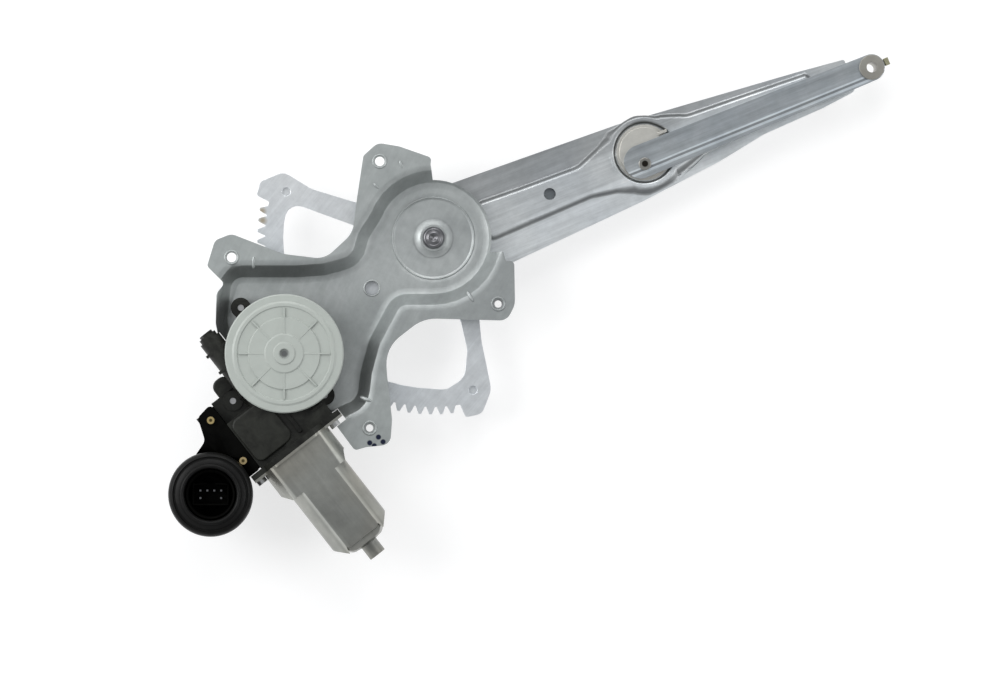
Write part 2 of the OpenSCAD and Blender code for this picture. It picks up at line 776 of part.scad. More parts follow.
module rubber_boot() {
    color([0.15, 0.15, 0.15])
    translate([boot_at[0], boot_at[1], 0]) rotate_extrude() polygon([
        [tube_r + 0.1, collar_low + 4.1], [boot_r - 3, collar_low + 4.1], [boot_r - 1, collar_low + 6],
        [boot_r - 3.4, collar_low + 9], [boot_r, collar_low + 12], [boot_r, collar_low + 4 + boot_h - 5],
        [boot_r - 2.6, collar_low + 4 + boot_h - 1.6], [boot_r - 8, collar_low + 4 + boot_h],
        [boot_bore + 1.4, collar_low + 4 + boot_h], [boot_bore, collar_low + 4 + boot_h - 2],
        [boot_bore, collar_top + 0.1], [tube_r + 0.1, collar_top + 0.1]
    ]);
}

// Sector gear: toothed rim, two windows, a centre spoke and end lobes that act as stops
function sector_teeth() = [
    for (k = [teeth_high : -1 : teeth_low])
        each [for (p = tooth(mesh_angle + (k + 0.5) * tooth_step, pitch_sector, tooth_width(-shift),
                             root_sector, tip_sector, 4)) p]
];
rim_in = root_sector - rim_w;
lobe_r = pitch_sector + 5.2;
lobe_a = mesh_angle + (teeth_low - 0.35) * tooth_step;
lobe_b = mesh_angle + (teeth_high + 1.35) * tooth_step;
function at(r, a, round_r) = [r * cos(a), r * sin(a), round_r];
module sector2d() {
    difference() {
        polygon(concat(
            rounded([
                [22, -14, 0], [32, -52, 20], [34, -72, 30], [41, -106, 14], at(lobe_r, lobe_b + 6.4, 7),
                at(lobe_r, lobe_b + 1.1, 2), at(root_sector, lobe_b, 0)
            ], 4),
            sector_teeth(),
            rounded([
                at(root_sector, lobe_a, 0), at(lobe_r, lobe_a - 1.1, 2), at(lobe_r, lobe_a - 5.6, 5),
                [-104.6, 46.8, 8], [-85.4, 34.8, 20], [-55, 25.6, 30], [-16, 18, 0]
            ], 4)
        ));
        polygon(rounded(concat(
            [[-50, 7, 10], [-101.5, 26, 9]],
            [for (a = [174 : 6 : 198]) at(rim_in, a, 0)],
            [at(rim_in, 209, 9), [-44, -18, 8]]
        ), 4));
        polygon(rounded(concat(
            [at(rim_in, 229, 9)],
            [for (a = [240 : 6 : 264]) at(rim_in, a, 0)],
            [[9, -106, 10], [22, -98, 12], [24, -78, 20], [18.5, -54, 9], [-22, -42, 10]]
        ), 4));
    }
}
// Round pockets coined into the lobes, with a thin floor
pockets = [[-103, 32.8], [27.9, -106.4]];
pocket_r = 3.1;
pocket_floor = 0.8;
module sector_gear() {
    color([0.75, 0.77, 0.79])
    place_pivot() difference() {
        union() {
            slab(sector_back, sector_front) sector2d();
            disc(sector_back, sector_front, hub_r);
        }
        disc(sector_back - 1, sector_front + 1, pivot_r + press_gap);
        for (r = rivet_spots) translate(r) disc(sector_back - 1, sector_front + 1, 3);
        for (p = pockets) translate(p) disc(sector_back + pocket_floor, sector_front + 1, pocket_r);
    }
}

// Lift arm, drawn along X from the main pivot
rivet_spots = [for (a = [70, 190, 310]) 21 * [cos(a + arm_angle), sin(a + arm_angle)]];
arm_pts = [
    [5, 33, 6], [27, 31, 20], [150, 25.2, 40], [281, 11.6, 40], [314.5, 7.4, 1.5], [315, -16, 5],
    [288, -18.6, 30], [243, -20, 30], [206, -26, 60], [147, -31.4, 60], [46, -36.6, 20], [0, -33, 0]
];
bead_pts = [
    [46, 11, 5], [70, 9, 20], [113, 7.6, 16], [130, 14, 10], [150, 20, 0], [178, 19, 10], [196, 8, 16],
    [286, 3.2, 6], [300, -4, 6], [286, -11, 6], [200, -15, 20], [178, -20, 10], [150, -22, 0],
    [132, -17.6, 10], [114, -14.4, 20], [46, -16, 5]
];
module arm2d() {
    circle(hub_r);
    polygon(rounded(arm_pts, 4));
}
module bead2d(inset) {
    offset_pts = grown([for (p = rounded(bead_pts, 4)) p], -inset);
    polygon(offset_pts);
    translate([cross_x, 0]) circle(ring_r - inset);
}
arm_hole = [87.5, -2];
roller_at = [roller_x, -3];
pin_head_h = 1.6;
pin_head_r = roller_pin_r + 2.4;
tab_x = cross_x - 23.6;
module lift_arm() {
    color([0.66, 0.68, 0.7])
    place_arm() difference() {
        union() {
            slab(arm_back, arm_front) arm2d();
            slab(arm_front - eps, bead_top) bead2d(0);
            translate([tab_x - 1, -7, arm_front]) cube([2, 14, bead_h + 4.2]);
        }
        slab(arm_back - 1, bead_top - arm_t) difference() {
            bead2d(arm_t);
            translate([cross_x, 0]) circle(ring_bore + arm_t);
            translate(roller_at) circle(pin_head_r + 2);
        }
        translate([cross_x, 0]) disc(arm_front, bead_top + 1, ring_bore);
        translate([cross_x, 0]) disc(arm_back - 1, arm_front + 1, hub_disc_r);
        disc(arm_back - 1, arm_front + 1, pivot_r + press_gap);
        rotate(-arm_angle) for (r = rivet_spots) translate(r) disc(arm_back - 1, arm_front + 1, 3);
        translate(arm_hole) disc(arm_back - 1, bead_top + 1, 4.2);
        translate(roller_at) disc(arm_back - 1, bead_top + 1, roller_pin_r + press_gap);
        translate(roller_at) disc(bead_top - pin_head_h, bead_top + 1, pin_head_r + press_gap);
    }
}

// Pivot pin: domed head over the bush, peened behind the lift arm
module main_pivot() {
    color([0.35, 0.36, 0.38])
    place_pivot() rotate_extrude() polygon(concat(
        [[0, arm_back - pivot_tail_h], [9, arm_back - pivot_tail_h], [11, arm_back - 1], [11, arm_back],
         [pivot_r, arm_back], [pivot_r, collar_h + thrust_gap], [pivot_head_r, collar_h + thrust_gap]],
        [for (i = [0 : 8])
            [pivot_head_r * cos(i * 8.5), collar_h + thrust_gap + 0.8 + (pivot_head_h - 0.8) * sin(i * 11.25)]],
        [[0, collar_h + thrust_gap + pivot_head_h]]
    ));
}
module arm_rivets() {
    color([0.6, 0.61, 0.63])
    place_pivot() for (r = rivet_spots) translate(r) {
        disc(sector_front, sector_front + rivet_h, 5);
        disc(arm_back, sector_front, 3 - press_gap);
        disc(arm_back - rivet_h, arm_back, 5);
    }
}
module roller_pin(top, head_r, seat) {
    disc(top - pin_head_h, top, head_r);
    disc(roller_low - 1.6, top, roller_pin_r);
    disc(channel_top + 0.2, seat, roller_pin_r + 2);
    disc(roller_low - 1.6 - 1.2, roller_low - 1.6, roller_pin_r + 2);
}
module roller(r, z0, z1, bore) {
    rotate_extrude() polygon([
        [bore, z0], [r - 1.2, z0], [r, z0 + 1.4], [r - 0.6, (z0 + z1) / 2], [r, z1 - 1.4],
        [r - 1.2, z1], [bore, z1]
    ]);
}
module lift_roller_pin() {
    color([0.6, 0.61, 0.63])
    place_arm() translate(roller_at) roller_pin(bead_top, pin_head_r, arm_back);
}
module lift_roller() {
    color([0.88, 0.88, 0.84])
    place_arm() translate(roller_at) roller(lift_roller_r, roller_low - 1.2, channel_top, roller_pin_r + run_gap);
}

// Half arms: a round pad on the pivot disc, a ramp and a channel out to the pin
front_y = -5.3;
front_start = -5;
rivet_at = [front_start + 2, front_y - 2.4];
module half_outline2d(x0, x1, w0, w1) {
    polygon([[x0, -w0 / 2], [x1, -w1 / 2], [x1, w1 / 2], [x0, w0 / 2]]);
    translate([x0, 0]) circle(w0 / 2);
    translate([x1, 0]) circle(w1 / 2);
}
module equalizer_front_arm() {
    color([0.68, 0.7, 0.72])
    place_cross() translate([front_start, front_y, 0]) difference() {
        front_form();
        translate(rivet_at - [front_start, front_y]) disc(hub_top - 1, hub_top + half_t + 1, 3);
        translate([front_x - front_start, 0]) disc(hub_top - 1, front_web_top + 1, hollow_pin_bore + 1.9 + press_gap);
    }
}
bend_x = 15;
ramp_x = 8;
module side_cut(pts) {
    translate([0, 60, 0]) rotate([90, 0, 0]) linear_extrude(120) polygon(pts);
}
// Strip profile seen from the side, drawn once for either half arm
module strip(length, pad, web) {
    side_cut([
        [-60, pad], [bend_x, pad], [bend_x + ramp_x, web], [length + 60, web],
        [length + 60, web + half_t], [bend_x + ramp_x, web + half_t], [bend_x, pad + half_t],
        [-60, pad + half_t]
    ]);
}
module skirts2d(length) {
    difference() {
        half_outline2d(0, length, half_w, half_end_w);
        half_outline2d(0, length, half_w - 2 * half_t, half_end_w - 2 * half_t);
        translate([-60, -50]) square([60 + bend_x, 100]);
        translate([length - 3, -50]) square([60, 100]);
    }
}
module front_form() {
    length = front_x - front_start;
    intersection() {
        slab(hub_top, front_web_top) half_outline2d(0, length, half_w, half_end_w);
        strip(length, hub_top, front_web_top - half_t);
    }
    intersection() {
        slab(hub_top, front_web_top) skirts2d(length);
        side_cut([
            [bend_x, hub_top], [length + 60, hub_top], [length + 60, front_web_top],
            [bend_x + ramp_x, front_web_top], [bend_x, hub_top + half_t]
        ]);
    }
}
module rear_form() {
    pad = hub_bottom - half_t;
    web = rear_web_top - half_t;
    intersection() {
        slab(web, hub_bottom) half_outline2d(0, rear_x, half_w, half_end_w);
        strip(rear_x, pad, web);
    }
    intersection() {
        slab(rear_web_top - half_depth, rear_web_top) skirts2d(rear_x);
        side_cut([
            [bend_x + ramp_x, rear_web_top], [rear_x + 60, rear_web_top],
            [rear_x + 60, rear_web_top - half_depth + 1], [bend_x + ramp_x, web]
        ]);
    }
}
module equalizer_rear_arm() {
    color([0.66, 0.68, 0.7])
    place_cross() rotate([0, 0, 180]) difference() {
        rear_form();
        for (y = [-6, 6]) translate([0, y]) disc(hub_bottom - half_t - 1, hub_bottom + 1, 3);
        translate([rear_x, 0]) disc(rear_web_top - half_t - 1, rear_web_top + 1, roller_pin_r + press_gap);
    }
}
module pivot_disc() {
    color([0.76, 0.75, 0.7])
    place_cross() difference() {
        union() {
            disc(hub_bottom, hub_top, hub_disc_r - run_gap);
            disc(hub_bottom, arm_back - thrust_gap, hub_disc_r + 2.8);
            disc(arm_front + thrust_gap, arm_front + thrust_gap + 0.8, ring_bore - 0.9);
            translate([14, 7.2, bead_top + pass_gap]) cube([6, 2, 3.6]);
        }
        translate(rivet_at) disc(hub_bottom + 2, hub_top + 1, 3);
        for (y = [-6, 6]) translate([0, y]) disc(hub_bottom - 1, hub_bottom + 2, 3);
    }
}
module equalizer_rivets() {
    color([0.4, 0.4, 0.42])
    place_cross() {
        translate(rivet_at) {
            disc(hub_top + half_t, hub_top + half_t + 1.6, 4.4);
            disc(hub_bottom + 2.1, hub_top + half_t, 3 - press_gap);
        }
        for (y = [-6, 6]) translate([0, y]) {
            disc(hub_bottom - half_t - 1.2, hub_bottom - half_t, 4.6);
            disc(hub_bottom - half_t, hub_bottom + 1.9, 3 - press_gap);
        }
    }
}
front_roller_top = hub_top - pass_gap - 2;
front_roller_low = front_roller_top - roller_w;
module front_pin() {
    color([0.66, 0.64, 0.6])
    place_cross() translate([front_x, front_y]) difference() {
        union() {
            disc(front_web_top, front_web_top + 1.6, half_end_w / 2 - 0.6);
            disc(front_roller_low - 1.8, front_web_top, hollow_pin_bore + 1.9);
            disc(front_roller_low - 1.8, front_roller_low - thrust_gap, hollow_pin_bore + 3.6);
        }
        disc(front_roller_low - 3, front_web_top + 3, hollow_pin_bore);
    }
}
module front_roller() {
    color([0.88, 0.88, 0.84])
    place_cross() translate([front_x, front_y])
        roller(front_roller_r, front_roller_low, front_roller_top, hollow_pin_bore + 1.9 + run_gap);
}
module end_clip() {
    color([0.55, 0.54, 0.42])
    place_cross() translate([front_x, front_y]) difference() {
        union() {
            disc(front_roller_top + thrust_gap, hub_top - 0.1, hollow_pin_bore + 4);
            translate([0, -2.2, front_roller_top + thrust_gap]) cube([13.6, 4.4, 1.6]);
            translate([10.6, -2.6, front_roller_top + thrust_gap]) cube([3, 5.2, 5]);
        }
        disc(front_roller_top - 1, hub_top + 1, hollow_pin_bore + 1.9 + press_gap);
    }
}
module rear_roller_pin() {
    color([0.6, 0.61, 0.63])
    place_cross() rotate([0, 0, 180]) translate([rear_x, 0]) {
        disc(roller_low - 1.6, rear_web_top, roller_pin_r);
        disc(roller_low - 2.8, roller_low - 1.6, roller_pin_r + 2);
        disc(channel_top + 0.2, rear_web_top - half_t, roller_pin_r + 2);
    }
}
module rear_roller() {
    color([0.88, 0.88, 0.84])
    place_cross() rotate([0, 0, 180]) translate([rear_x, 0])
        roller(rear_roller_r, roller_low - 1.2, channel_top, roller_pin_r + run_gap);
}

// Output: pinion and shaft, worm wheel, rubber cushions between them
pinion_back = sector_back - 1;
cushion_in = 13;
cushion_out = 20;
module output_pinion() {
    color([0.6, 0.6, 0.62])
    place_gear() {
        slab(pinion_back, panel_back - thrust_gap) polygon([
            for (k = [0 : pinion_z - 1])
                each tooth(mesh_angle - 180 - k * 360 / pinion_z, pitch_pinion, tooth_width(shift),
                           root_pinion, tip_pinion, 6)
        ]);
        disc(panel_back - thrust_gap, wheel_low + wheel_w + 1.5, output_r);
        slab(wheel_low + 1.2, wheel_low + wheel_w - 1.2) union() {
            circle(cushion_in - 3);
            for (k = [0 : 2]) rotate(k * 120) translate([0, -2]) square([cushion_out - 0.3, 4]);
        }
    }
}
module worm_wheel() {
    color([0.85, 0.85, 0.8])
    place_gear() difference() {
        slab(wheel_low, wheel_low + wheel_w) polygon([
            for (k = [0 : wheel_z - 1])
                let (a = -motor_phase + k * 360 / wheel_z, h = 360 / wheel_z)
                each [
                    for (q = [[-0.5, -0.95], [-0.26, -0.95], [-0.1, 0.85], [0.1, 0.85], [0.26, -0.95]])
                        (pitch_wheel + q[1] * wheel_m) * [cos(a + q[0] * h), sin(a + q[0] * h)]
                ]
        ]);
        disc(wheel_low - 1, wheel_low + wheel_w + 2, output_r + run_gap);
        slab(wheel_low + 1, wheel_low + wheel_w + 1) difference() {
            circle(cushion_out);
            for (k = [0 : 2]) rotate(k * 120 + 60) translate([cushion_in - 2.6, -0.8]) square([20, 1.6]);
        }
    }
}
motor_phase = -(motor_angle - 90);
module damper_cushions() {
    color([0.1, 0.1, 0.1])
    place_gear() slab(wheel_low + 1.2, wheel_low + wheel_w - 1.2) difference() {
        ring2d(cushion_out - 0.1, cushion_in - 3 + 0.1);
        for (k = [0 : 2]) rotate(k * 120) translate([0, -2.1]) square([cushion_out + 2, 4.2]);
        for (k = [0 : 2]) rotate(k * 120 + 60) translate([0, -0.9]) square([cushion_out + 2, 1.8]);
    }
}

// Armature: shaft with the worm, slotted core, end windings and commutator
worm_x = 13;
worm_root = worm_pitch_r - 1.15;
worm_tip = worm_pitch_r + 0.7;
worm_lead = PI * wheel_m;
module worm_thread() {
    turns = floor(2 * worm_x / worm_lead);
    per_turn = 20;
    n = turns * per_turn;
    prof = [[worm_root - 0.4, -0.62], [worm_tip, -0.26], [worm_tip, 0.26], [worm_root - 0.4, 0.62]];
    points = [
        for (i = [0 : n]) let (a = 360 * i / per_turn, x = -turns * worm_lead / 2 + worm_lead * i / per_turn)
            for (p = prof) [x + p[1], p[0] * cos(a), p[0] * sin(a)]
    ];
    sides = [
        for (i = [0 : n - 1]) for (j = [0 : 3])
            let (a = i * 4 + j, b = i * 4 + (j + 1) % 4)
            each [[a, b, b + 4], [a, b + 4, a + 4]]
    ];
    polyhedron(points, concat([[3, 2, 1, 0]], sides, [[n * 4, n * 4 + 1, n * 4 + 2, n * 4 + 3]]));
}
module armature_shaft() {
    color([0.7, 0.71, 0.73])
    union() {
        motor_bar(tunnel_end + 4, -worm_x - 1) circle(shaft_r);
        motor_bar(-worm_x - 1 - eps, worm_x + 1 + eps) circle(worm_root);
        motor_bar(worm_x + 1, flange_x + can_len + nub_len - can_t - 2) circle(shaft_r);
        place_motor(worm_h) worm_thread();
    }
}
core_x = [flange_x + can_len - 52, flange_x + can_len - 21];
module armature_core() {
    color([0.5, 0.5, 0.52])
    motor_bar(core_x[0], core_x[1]) difference() {
        circle(core_r);
        circle(shaft_r + press_gap);
        for (k = [0 : core_slots - 1]) rotate(k * 360 / core_slots) {
            translate([core_r - 4, -0.8]) square([5, 1.6]);
            translate([core_r - 5, 0]) circle(1.9);
        }
    }
}
module armature_windings() {
    color([0.7, 0.4, 0.2])
    for (x = [[core_x[0] - 6.5, core_x[0]], [core_x[1], core_x[1] + 6.5]])
        place_motor(worm_h) translate([x[0], 0, 0]) rotate([0, 90, 0]) rotate_extrude() polygon([
            [shaft_r + 1.2, 0.02], [core_r - 2.6, 0.02], [core_r - 1.2, 1.6], [core_r - 1.2, x[1] - x[0] - 1.6],
            [core_r - 2.6, x[1] - x[0] - 0.02], [shaft_r + 1.2, x[1] - x[0] - 0.02]
        ]);
}
module commutator() {
    color([0.75, 0.45, 0.25])
    motor_bar(commutator_x[0], commutator_x[1]) difference() {
        circle(commutator_r);
        circle(shaft_r + press_gap);
        for (k = [0 : core_slots - 1]) rotate(k * 360 / core_slots)
            translate([commutator_r - 0.8, -0.2]) square([2, 0.4]);
    }
}

base_plate();
pivot_bush();
ear_weld_nuts();
gear_housing();
gear_cover();
cover_seal();
output_bush();
housing_screws();
motor_yoke();
motor_magnets();
motor_screws();
yoke_bearing();
worm_bearings();
brush_holder();
brushes();
brush_springs();
connector_housing();
connector_pins();
circuit_board();
connector_lid();
connector_screws();
rubber_boot();
thrust_cap();
sector_gear();
lift_arm();
main_pivot();
arm_rivets();
lift_roller_pin();
lift_roller();
equalizer_front_arm();
equalizer_rear_arm();
pivot_disc();
equalizer_rivets();
front_pin();
front_roller();
end_clip();
rear_roller_pin();
rear_roller();
output_pinion();
worm_wheel();
damper_cushions();
armature_shaft();
armature_core();
armature_windings();
commutator();
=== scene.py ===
"""Cross-arm window regulator: a pressed base plate, a toothed sector, two arms and a sealed motor."""
import json
import math

import bmesh
import bpy
from mathutils import Matrix, Vector, geometry


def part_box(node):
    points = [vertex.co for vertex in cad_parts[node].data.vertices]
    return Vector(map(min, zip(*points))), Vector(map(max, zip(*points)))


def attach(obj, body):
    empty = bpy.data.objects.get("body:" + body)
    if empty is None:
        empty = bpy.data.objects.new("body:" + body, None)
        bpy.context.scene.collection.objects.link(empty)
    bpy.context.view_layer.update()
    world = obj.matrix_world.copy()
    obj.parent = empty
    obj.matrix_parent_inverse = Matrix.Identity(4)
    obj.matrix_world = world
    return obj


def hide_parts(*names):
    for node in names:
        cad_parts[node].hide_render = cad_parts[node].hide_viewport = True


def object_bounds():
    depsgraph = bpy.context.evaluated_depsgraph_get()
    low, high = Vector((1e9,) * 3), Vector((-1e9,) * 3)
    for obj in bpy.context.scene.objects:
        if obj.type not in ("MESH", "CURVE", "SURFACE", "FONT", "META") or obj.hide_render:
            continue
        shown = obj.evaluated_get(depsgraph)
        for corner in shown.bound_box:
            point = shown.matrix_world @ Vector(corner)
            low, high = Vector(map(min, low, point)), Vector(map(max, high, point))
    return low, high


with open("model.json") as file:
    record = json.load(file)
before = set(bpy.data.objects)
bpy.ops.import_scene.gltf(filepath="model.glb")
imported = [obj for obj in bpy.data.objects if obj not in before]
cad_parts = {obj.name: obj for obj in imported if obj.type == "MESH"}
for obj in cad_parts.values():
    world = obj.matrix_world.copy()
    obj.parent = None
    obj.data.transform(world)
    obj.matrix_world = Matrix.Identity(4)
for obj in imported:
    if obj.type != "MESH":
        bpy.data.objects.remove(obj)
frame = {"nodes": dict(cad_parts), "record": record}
solid_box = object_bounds()

# The studio: the regulator lies on a pale floor under a large sky of soft light, brighter towards
# the upper left, with three soft lamps round it. The camera looks straight down on it.
MM = 0.001
CAMERA_AT = Vector((-0.026, -0.092, 3.0))
VIEW_CENTRE = Vector((0.0897, -0.0433, 0))
VIEW_WIDTH = 0.70
HORIZON_COLOUR = (0.84, 0.85, 0.86, 1)
ZENITH_COLOUR = (0.36, 0.37, 0.38, 1)
BRIGHT_SIDE = (-0.66, 0.58, 0.3)
LAMP_SIZE = 0.9
LAMPS_AIM = Vector((0.05, 0, 0))
FLOOR_HALF = 6
FLOOR_GAP = 0.2 * MM
FLOOR_COLOUR = (0.86, 0.86, 0.86, 1)
SEEN_FLOOR_COLOUR = (0.45, 0.45, 0.45, 1)
SEEN_FLOOR_GLOW = 0.62


def put(tree, kind, inputs=None, **settings):
    """Adds a shader node, with each input set to a value or joined to another node's socket."""
    made = tree.nodes.new("ShaderNode" + kind)
    for key, value in settings.items():
        setattr(made, key, value)
    for key, value in (inputs or {}).items():
        if isinstance(value, bpy.types.NodeSocket):
            tree.links.new(value, made.inputs[key])
        else:
            made.inputs[key].default_value = value
    return made


def blank_material(name):
    """A material with an empty node tree."""
    material = bpy.data.materials.new(name)
    material.use_nodes = True
    material.node_tree.nodes.clear()
    return material


scene = bpy.context.scene
scene.view_settings.view_transform = "Standard"
camera_data = bpy.data.cameras.new("camera")
camera_data.sensor_width = 36
camera_data.lens = camera_data.sensor_width * CAMERA_AT.z / VIEW_WIDTH
camera_data.shift_x = (VIEW_CENTRE.x - CAMERA_AT.x) / VIEW_WIDTH
camera_data.shift_y = (VIEW_CENTRE.y - CAMERA_AT.y) / VIEW_WIDTH
camera_data.clip_start = 0.05
camera_data.clip_end = 20
camera = bpy.data.objects.new("camera", camera_data)
camera.location = CAMERA_AT
scene.collection.objects.link(camera)
scene.camera = camera

world = bpy.data.worlds.new("studio")
world.use_nodes = True
scene.world = world
sky = world.node_tree
sky.nodes.clear()
direction = put(sky, "TexCoord").outputs["Generated"]
height = put(sky, "SeparateXYZ", {0: direction})
glow = put(sky, "ValToRGB", {0: height.outputs["Z"]})
glow.color_ramp.elements[0].position = 0.1
glow.color_ramp.elements[0].color = HORIZON_COLOUR
glow.color_ramp.elements[1].position = 0.95
glow.color_ramp.elements[1].color = ZENITH_COLOUR
side = put(sky, "VectorMath", {0: direction, 1: BRIGHT_SIDE}, operation="DOT_PRODUCT")
fall = put(sky, "MapRange", {0: side.outputs["Value"], 1: -0.8, 2: 0.9, 3: 0.5, 4: 1.3})
backdrop = put(sky, "Background", {"Color": glow.outputs[0], "Strength": fall.outputs[0]})
put(sky, "OutputWorld", {"Surface": backdrop.outputs[0]})

for lamp_name, lamp_at, watts in (
    ("lamp_left", (-1.15, 0.25, 1.0), 12.0),
    ("lamp_right", (1.2, -0.1, 0.95), 5.0),
    ("lamp_back", (0.1, 1.2, 1.1), 7.0),
):
    lamp_data = bpy.data.lights.new(lamp_name, "AREA")
    lamp_data.shape = "SQUARE"
    lamp_data.size = LAMP_SIZE
    lamp_data.energy = watts
    lamp = bpy.data.objects.new(lamp_name, lamp_data)
    lamp.location = lamp_at
    lamp.rotation_euler = (LAMPS_AIM - Vector(lamp_at)).to_track_quat("-Z", "Y").to_euler()
    scene.collection.objects.link(lamp)

floor_shape = bmesh.new()
bmesh.ops.create_grid(floor_shape, x_segments=1, y_segments=1, size=FLOOR_HALF)
bmesh.ops.translate(floor_shape, verts=floor_shape.verts, vec=(0, 0, solid_box[0][2] - FLOOR_GAP))
floor_mesh = bpy.data.meshes.new("floor")
floor_shape.to_mesh(floor_mesh)
floor_shape.free()
floor = bpy.data.objects.new("floor", floor_mesh)
scene.collection.objects.link(floor)
# Where it is seen, the paper glows a little and keeps the shadow; the part is lit by plain matt paper
paper = blank_material("white_paper")
sheet = paper.node_tree
rays = put(sheet, "LightPath")
seen = put(sheet, "Math", {0: rays.outputs["Is Camera Ray"], 1: rays.outputs["Is Glossy Ray"]},
           operation="MAXIMUM")
seen = put(sheet, "Math", {0: seen.outputs[0], 1: rays.outputs["Is Transmission Ray"]},
           operation="MAXIMUM")
matt = put(sheet, "BsdfDiffuse", {"Color": FLOOR_COLOUR})
faint = put(sheet, "BsdfDiffuse", {"Color": SEEN_FLOOR_COLOUR})
light = put(sheet, "Emission", {"Color": (1, 1, 1, 1), "Strength": SEEN_FLOOR_GLOW})
lifted = put(sheet, "AddShader", {0: faint.outputs[0], 1: light.outputs[0]})
mix = put(sheet, "MixShader", {0: seen.outputs[0], 1: matt.outputs[0], 2: lifted.outputs[0]})
put(sheet, "OutputMaterial", {"Surface": mix.outputs[0]})
floor.data.materials.append(paper)

# The base plate: one pressing of zinc-plated steel with a recessed panel, a dished boss round the
# pivot and four raised ears. Its edges are sheared, then rounded a little by the tumbling.
PIVOT_X, PIVOT_Y = 43, 35
EAR_FACE = 12
DISC_RIM_R = 28.6
PANEL_HOLE_R = 5.4
EAR_COLLAR_R = 4.5
DART_SIZE = (4.6, 1.5, 1.4)
DART_LEAN = math.radians(-14)
LEVEL_NORMAL = 0.995
CREASE = math.radians(50)
INK = (0.02, 0.025, 0.05)
INK_DOTS = [(-1.6, -108.2), (4.5, -104.2), (7.7, -107.5), (1.6, -110.3)]


def merged(node, flat=0.6):
    """A copy of a node's mesh with its corners joined and its flat faces whole again.

    Faces that turn by less than the flat angle, in degrees, count as one.
    """
    shape = bmesh.new()
    shape.from_mesh(frame["nodes"][node].data)
    bmesh.ops.remove_doubles(shape, verts=shape.verts[:], dist=0.002 * MM)
    if flat:
        bmesh.ops.dissolve_limit(shape, angle_limit=math.radians(flat), verts=shape.verts[:],
                                 edges=shape.edges[:])
    return shape


def soften(shape, width, segments=2, lowest=32, highest=180, clear_of=None, beside_flat=None):
    """Rounds the edges at which the faces turn by an angle in the given range, in degrees.

    All lengths are in millimetres. clear_of is a circle in plan, (x, y, radius), whose edges stay
    as they are. beside_flat is a range of heights: only the level edges in it that lie beside a
    level face are rounded, and by the whole width.
    """
    edges = [
        e for e in shape.edges
        if e.is_manifold and math.radians(lowest) < e.calc_face_angle(0) < math.radians(highest)
    ]
    if beside_flat:
        low, high = beside_flat
        edges = [
            e for e in edges
            if all(low * MM < v.co.z < high * MM for v in e.verts)
            and max(f.normal.z for f in e.link_faces) > LEVEL_NORMAL
        ]
    if clear_of:
        x, y, radius = clear_of
        edges = [
            e for e in edges
            if min(math.hypot(v.co.x - x * MM, v.co.y - y * MM) for v in e.verts) > radius * MM
        ]
    bmesh.ops.bevel(shape, geom=edges, offset=width * MM, offset_type="OFFSET", segments=segments,
                    profile=0.5, affect="EDGES", material=-1, clamp_overlap=not beside_flat)


def lump(shape, at, size, turn=0.0, lean=0.0):
    """Adds a small rounded swelling, given by its place and half sizes in millimetres."""
    made = bmesh.ops.create_uvsphere(shape, u_segments=20, v_segments=12, radius=1.0)["verts"]
    bmesh.ops.scale(shape, verts=made, vec=Vector(size) * MM)
    spin = Matrix.Rotation(turn, 3, "Z") @ Matrix.Rotation(lean, 3, "Y")
    bmesh.ops.rotate(shape, verts=made, cent=(0, 0, 0), matrix=spin)
    bmesh.ops.translate(shape, verts=made, vec=Vector(at) * MM)


def collar(shape, at, radius, wire):
    """Adds a round ring that stands half out of a surface, in millimetres."""
    start = bmesh.ops.create_circle(shape, segments=12, radius=wire * MM)["verts"]
    upright = Matrix.Rotation(math.radians(90), 3, "X")
    bmesh.ops.rotate(shape, verts=start, cent=(0, 0, 0), matrix=upright)
    bmesh.ops.translate(shape, verts=start, vec=(radius * MM, 0, 0))
    before = set(shape.verts) - set(start)
    edges = list({e for v in start for e in v.link_edges})
    bmesh.ops.spin(shape, geom=edges, cent=(0, 0, 0), axis=(0, 0, 1), angle=math.tau, steps=48,
                   use_merge=True)
    bmesh.ops.translate(shape, verts=[v for v in shape.verts if v not in before], vec=Vector(at) * MM)


def piece(shape, name, body, material, replaced):
    """Turns a bmesh into a finished piece that rides on its body in place of some nodes."""
    mesh = bpy.data.meshes.new(name)
    shape.to_mesh(mesh)
    shape.free()
    mesh.polygons.foreach_set("use_smooth", [True] * len(mesh.polygons))
    mesh.set_sharp_from_angle(angle=CREASE)
    mesh.materials.append(material)
    made = bpy.data.objects.new(name, mesh)
    scene.collection.objects.link(made)
    even = made.modifiers.new("even_normals", "WEIGHTED_NORMAL")
    even.keep_sharp = True
    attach(made, body)
    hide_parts(*replaced)


def dress(slot, material):
    """Gives a material to every node of a slot, for the nodes that keep their own mesh."""
    for part in frame["record"]["subparts"]:
        if part["material_slot"] != slot:
            continue
        own = frame["nodes"][part["node"]].data.materials
        if len(own) == 0:
            own.append(material)
        for index in range(len(own)):
            own[index] = material


def near(tree, at, places, radius, edge):
    """1 within a radius of any of the places in plan, in millimetres, and 0 beyond a soft edge."""
    flat = put(tree, "VectorMath", {0: at, 1: (1, 1, 0)}, operation="MULTIPLY").outputs[0]
    closest = None
    for x, y in places:
        away = put(tree, "VectorMath", {0: flat, 1: (x * MM, y * MM, 0)}, operation="DISTANCE")
        if closest is None:
            closest = away.outputs["Value"]
        else:
            closest = put(tree, "Math", {0: closest, 1: away.outputs["Value"]},
                          operation="MINIMUM").outputs[0]
    share = put(tree, "MapRange", {
        0: closest, 1: radius * MM, 2: (radius + edge) * MM, 3: 1.0, 4: 0.0})
    return share.outputs[0]


